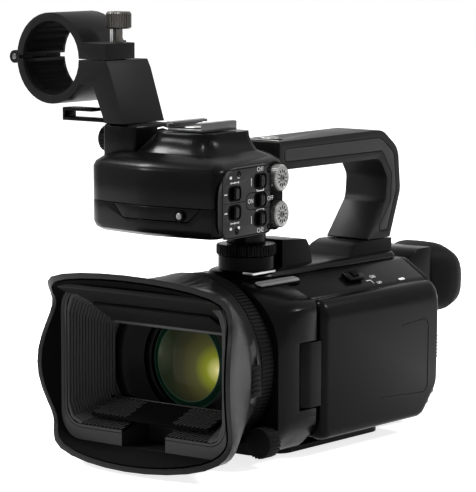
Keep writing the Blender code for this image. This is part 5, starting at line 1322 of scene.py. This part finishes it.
@dataclass
class MicHolder:
    """Microphone holder: base, lower and upper ring halves, pin, screw, knob and clip."""

    centre: tuple = (-75.3, 177.0)
    bore: float = 17.0
    span_y: tuple = (-65.0, -36.4)
    screw: tuple = (-46.7, -50.7)
    head_r: float = 5.8
    head_low: float = 190.7
    guide_x: float = -51.2
    liner_steps: int = 40
    skins: tuple = (("mic_base", SATIN, 0.6), ("mic_bracket", HOLDER, 1.5, 4), ("mic_clamp", HOLDER, 1.0),
                    ("mic_pin", STEEL, 0.3, 2), ("cable_clip", BLACK, 0.4, 2))

    def build(self) -> None:
        """Builds the holder."""
        SHOP.refine_all(self.skins)
        self.liner("lower_liner", CAMERA_BODY, 188.0, 350.0)
        self.liner("upper_liner", SHOP.body_of("mic_clamp"), 12.0, 172.0)
        self.thumb_screw()
        self.knob()
        wire = [Vector((-18.0 + 3.0 * step, -57.5, 147.4 + (0.7 if step % 2 else 0.0))) for step in range(3)]
        SHOP.add("shoe_spring", tube(wire, 0.35), SILVER)

    def liner(self, name: str, body: str, first: float, last: float) -> None:
        """Lines one ring half with a ribbed soft pad.

        Args:
            name: the piece's name.
            body: the body it rides on.
            first: the angle where it starts.
            last: the angle where it ends.
        """
        front, back = self.span_y
        sections = []
        for index in range(self.liner_steps + 1):
            turn = math.radians(first + (last - first) * index / self.liner_steps)
            inner = self.bore - (1.5 if index % 4 < 2 else 0.9)
            outer = self.bore + 0.05
            sections.append([Vector((self.centre[0] + radius * math.cos(turn), y,
                                     self.centre[1] + radius * math.sin(turn))) for radius, y in (
                (outer, front + 2.0), (outer, back - 2.0), (inner, back - 2.6), (inner, front + 2.6))])
        SHOP.add(name, loft(sections), DEEP, body, FINE_ANGLE)

    def thumb_screw(self) -> None:
        """Makes the knurled thumb screw with a dished top, and the guide pin beside it."""
        low, high = corners_of("mic_screw")
        rod = 1.8
        teeth = toothed(self.head_r, 40, 0.45)
        levels = ((rod, low.z), (rod, self.head_low), (self.head_r - 0.9, self.head_low),
                  (teeth, self.head_low + 0.7), (teeth, high.z - 0.9), (self.head_r - 0.8, high.z),
                  (self.head_r - 2.2, high.z), (self.head_r - 2.6, high.z - 0.7))
        head = stacked(Side.TOP.at(*self.screw, 0), levels, len(teeth))
        SHOP.stand_in("mic_screw", head, KNURL, FINE_ANGLE)
        pin = [(0, 183.5), (0.75, 183.5), (0.75, 190.2), (0, 190.4)]
        SHOP.group("mic_screw_guide", [lathe(pin, Side.TOP.at(self.guide_x, self.screw[1], 0), 12)], SILVER,
                   "mic_clamp")

    def knob(self) -> None:
        """Makes the ribbed knob on the side of the base."""
        low, high = corners_of("mic_side_knob")
        middle = middle_of("mic_side_knob")
        length = high.x - low.x
        teeth = toothed((high.z - low.z) / 2, 24, 0.6)
        levels = ((3.0, 0.0), (3.0, 2.0), (teeth, 2.3), (teeth, length - 0.9), (5.0, length), (3.6, length),
                  (3.3, length - 0.5))
        place = Side.RIGHT.at(high.x, middle.y, middle.z)
        SHOP.stand_in("mic_side_knob", stacked(place, levels, len(teeth)), SOFT, FINE_ANGLE)


@dataclass
class Strap:
    """Padded hand strap on the grip side."""

    span_y: tuple = (-11.7, 74.0)
    plate_x: float = -48.0
    middle_z: float = 44.0
    voxel: float = 2.2
    pressure: float = 4.0
    frames: int = 20
    held_mm: float = 12.0
    cap: float = 1.3
    stitches: int = 30

    def build(self) -> None:
        """Builds the pad, its stitches and end plates."""
        pad = self.puffed(SHOP.copy("hand_strap"))
        seats = self.outer_points(pad)
        piece = SHOP.add("hand_strap_pad", pad, WEB, SHOP.body_of("hand_strap"), 60.0, ("hand_strap",))
        swell = piece.modifiers.new("smooth", "SUBSURF")
        swell.levels = 1
        swell.render_levels = 1
        stitches = [prism(slab(2.2, 0.7, 0.3), -0.15, 0.3, face_at(here, ahead, ahead.cross(out) * -1))
                    for here, ahead, out in seats]
        SHOP.group("hand_strap_stitches", stitches, THREAD, "hand_strap")
        ends = [Side.RIGHT.at(self.plate_x, y, self.middle_z)
                for y in (self.span_y[0] - 0.5, self.span_y[1] + 1.0)]
        plates = [prism(slab(5.0, 27.0, 2.0), -0.2, 1.6, place, 0.5, 3) for place in ends]
        SHOP.group("strap_end_plates", plates, SATIN)

    def puffed(self, work: Shape) -> Shape:
        """Swells the pad by a short cloth simulation with its ends held.

        Args:
            work: the CAD strap.

        Returns:
            The swollen shape.
        """
        resize(work, MM)
        start = linked("helper", mesh_of(work, "strap"))
        even = start.modifiers.new("even", "REMESH")
        even.mode = "VOXEL"
        even.voxel_size = self.voxel * MM
        pad = evaluated(start)
        pad = self.blown(pad)
        for _ in range(2):
            bmesh.ops.smooth_vert(pad, verts=pad.verts, factor=0.4, use_axis_x=True, use_axis_y=True,
                                  use_axis_z=True)
        resize(pad, 1 / MM)
        return pad

    def blown(self, pad: Shape) -> Shape:
        """Runs the cloth with inner pressure and caps how far each point moves.

        Args:
            pad: the pad before the run.

        Returns:
            The pad after it.
        """
        rest = [vert.co.copy() for vert in pad.verts]
        cloth = linked("helper", mesh_of(pad, "strap_cloth"))
        held = cloth.vertex_groups.new(name="held")
        hold = self.held_mm * MM
        front, back = self.span_y[0] * MM + hold, self.span_y[1] * MM - hold
        held.add([i for i, co in enumerate(rest) if not front < co.y < back], 1.0, "REPLACE")
        soft = cloth.modifiers.new("soft", "CLOTH")
        soft.settings.use_pressure = True
        soft.settings.uniform_pressure_force = self.pressure
        soft.settings.effector_weights.gravity = 0.0
        soft.settings.vertex_group_mass = "held"
        soft.point_cache.frame_start = 1
        soft.point_cache.frame_end = self.frames
        scene = bpy.context.scene
        for step in range(1, self.frames + 1):
            scene.frame_set(step)
        blown = evaluated(cloth)
        for vert, before in zip(blown.verts, rest):
            move = vert.co - before
            if move.length > self.cap * MM:
                vert.co = before + move.normalized() * self.cap * MM
        scene.frame_set(1)
        return blown

    def outer_points(self, pad: Shape) -> list[tuple]:
        """Finds the seats of the stitches on the pad's outer face.

        Args:
            pad: the swollen pad.

        Returns:
            For each stitch its point, its direction and the way out of the pad.
        """
        tree = BVHTree.FromBMesh(pad)
        seats = []
        for side in (-1, 1):
            row = []
            for step in range(self.stitches + 1):
                share = 0.06 + 0.88 * step / self.stitches
                half = 12.0 + 9.0 * math.sin(math.pi * share)
                start = Vector((-300.0, between(*self.span_y, share), self.middle_z + side * (half - 3.2)))
                hit, out, _, _ = tree.ray_cast(start, Vector((1, 0, 0)))
                if hit is not None:
                    row.append((hit, out))
            for (here, out), (after, _) in zip(row, row[1:]):
                seats.append((here, (after - here).normalized(), out))
        return seats


@dataclass
class Rear:
    """Viewfinder, battery and their parts."""

    ridge_pitch: float = 2.0
    skins: tuple = (("evf_housing", BLACK, 0.6), ("eyepiece_glass", GLOSS, 0.2, 2), ("eyecup", SOFT, 0.9, 4),
                    ("battery", SATIN, 0.6), ("battery_latch", SOFT, 0.3, 2))

    def build(self) -> None:
        """Builds the rear pieces."""
        SHOP.refine_all(self.skins)
        low, high = corners_of("battery")
        middle = middle_of("battery")
        place = Side.REAR.at(middle.x, high.y, middle.z)
        SHOP.group("battery_ridges", [
            prism(slab(high.x - low.x - 8.0, 0.8, 0.3, (0, step * self.ridge_pitch)), -0.3, 0.35, place)
            for step in range(-6, 7)], SATIN, "battery")


def aimed(eye: Vector, target: Vector) -> Matrix:
    """Gives the frame of a camera or lamp that looks at a target."""
    return Matrix.Translation(eye) @ (target - eye).to_track_quat("-Z", "Y").to_matrix().to_4x4()


@dataclass
class Studio:
    """Floor, lights and the photograph's camera."""

    eye: tuple = (783.1, -1007.3, 247.3)
    target: tuple = (14.1, -40.7, 95.6)
    focal_px: float = 2800.0
    long_side_px: float = 492.0
    sensor: float = 36.0
    lamp_target: tuple = (0, 0, 0.1)
    floor_half: float = 3.0
    floor_z: float = -0.0003
    floor_glow: float = 0.8
    world_light: float = 0.35
    lamps: tuple = (("overhead", (0.0, -0.3, 1.4), 15.0, 0.24), ("left_top", (-0.9, -0.2, 1.1), 14.0, 0.24),
                    ("right_rear", (0.85, 0.8, 0.95), 10.0, 0.22),
                    ("front_left", (-0.95, -0.9, 0.85), 13.0, 0.26))

    def build(self) -> None:
        """Sets the stage."""
        bpy.context.scene.view_settings.view_transform = "Standard"
        self.floor()
        self.world()
        for name, place, power, size in self.lamps:
            self.area(name, place, power, size)
        self.camera()

    def camera(self) -> None:
        """Places the camera at the photograph's angle."""
        data = bpy.data.cameras.new("photo_camera")
        data.sensor_fit = "AUTO"
        data.sensor_width = self.sensor
        data.lens = self.focal_px / self.long_side_px * self.sensor
        data.clip_end = 20.0
        camera = linked("photo_camera", data)
        camera.matrix_world = aimed(Vector(self.eye) * MM, Vector(self.target) * MM)
        bpy.context.scene.camera = camera

    @staticmethod
    def seen_rays(tree: Tree) -> Socket:
        """Gives 1 for rays that show the backdrop: camera, glossy and transmission."""
        path = add_node(tree, "LightPath").outputs
        total = path["Is Camera Ray"]
        for label in ("Is Glossy Ray", "Is Transmission Ray"):
            total = maths(tree, "MAXIMUM", total, path[label])
        return total

    def floor(self) -> None:
        """Makes a pale floor that reads white to the camera and keeps the shadow."""
        work = bmesh.new()
        bmesh.ops.create_grid(work, x_segments=2, y_segments=2, size=self.floor_half)
        bmesh.ops.translate(work, vec=(0, 0, self.floor_z), verts=work.verts)
        material, tree, shader = blank_material("floor_white")
        feed(tree, shader, {
            "Base Color": (0.8, 0.8, 0.8, 1.0), "Roughness": 0.8, "Specular IOR Level": 0.0,
            "Emission Color": (1.0, 1.0, 1.0, 1.0),
            "Emission Strength": maths(tree, "MULTIPLY", self.seen_rays(tree), self.floor_glow)})
        obj = linked("floor", mesh_of(work, "floor"))
        obj.data.materials.append(material)

    def world(self) -> None:
        """White to the camera and in reflections, dimmer as a light."""
        world = bpy.data.worlds.new("studio")
        bpy.context.scene.world = world
        world.use_nodes = True
        tree = world.node_tree
        level = add_node(tree, "MapRange", {
            "Value": self.seen_rays(tree), "To Min": self.world_light, "To Max": 1.0})
        feed(tree, tree.nodes["Background"], {"Color": (1, 1, 1, 1), "Strength": level.outputs["Result"]})

    def area(self, name: str, place: tuple, power: float, size: float) -> None:
        """Adds one area light aimed at the object.

        Args:
            name: the light's name.
            place: where it stands, in metres.
            power: its watts.
            size: its side, in metres.
        """
        data = bpy.data.lights.new(name, "AREA")
        data.energy = power
        data.size = size
        linked(name, data).matrix_world = aimed(Vector(place), Vector(self.lamp_target))


def main() -> None:
    """Builds every sub-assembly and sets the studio."""
    for kind in (Studio, Hood, Lens, Body, Monitor, SoundBlock, Handle, MicHolder, Strap, Rear):
        LOG.info("building %s", kind.__name__)
        kind().build()
    LOG.info("%d pieces", SHOP.count)


if __name__ == "__main__":
    main()
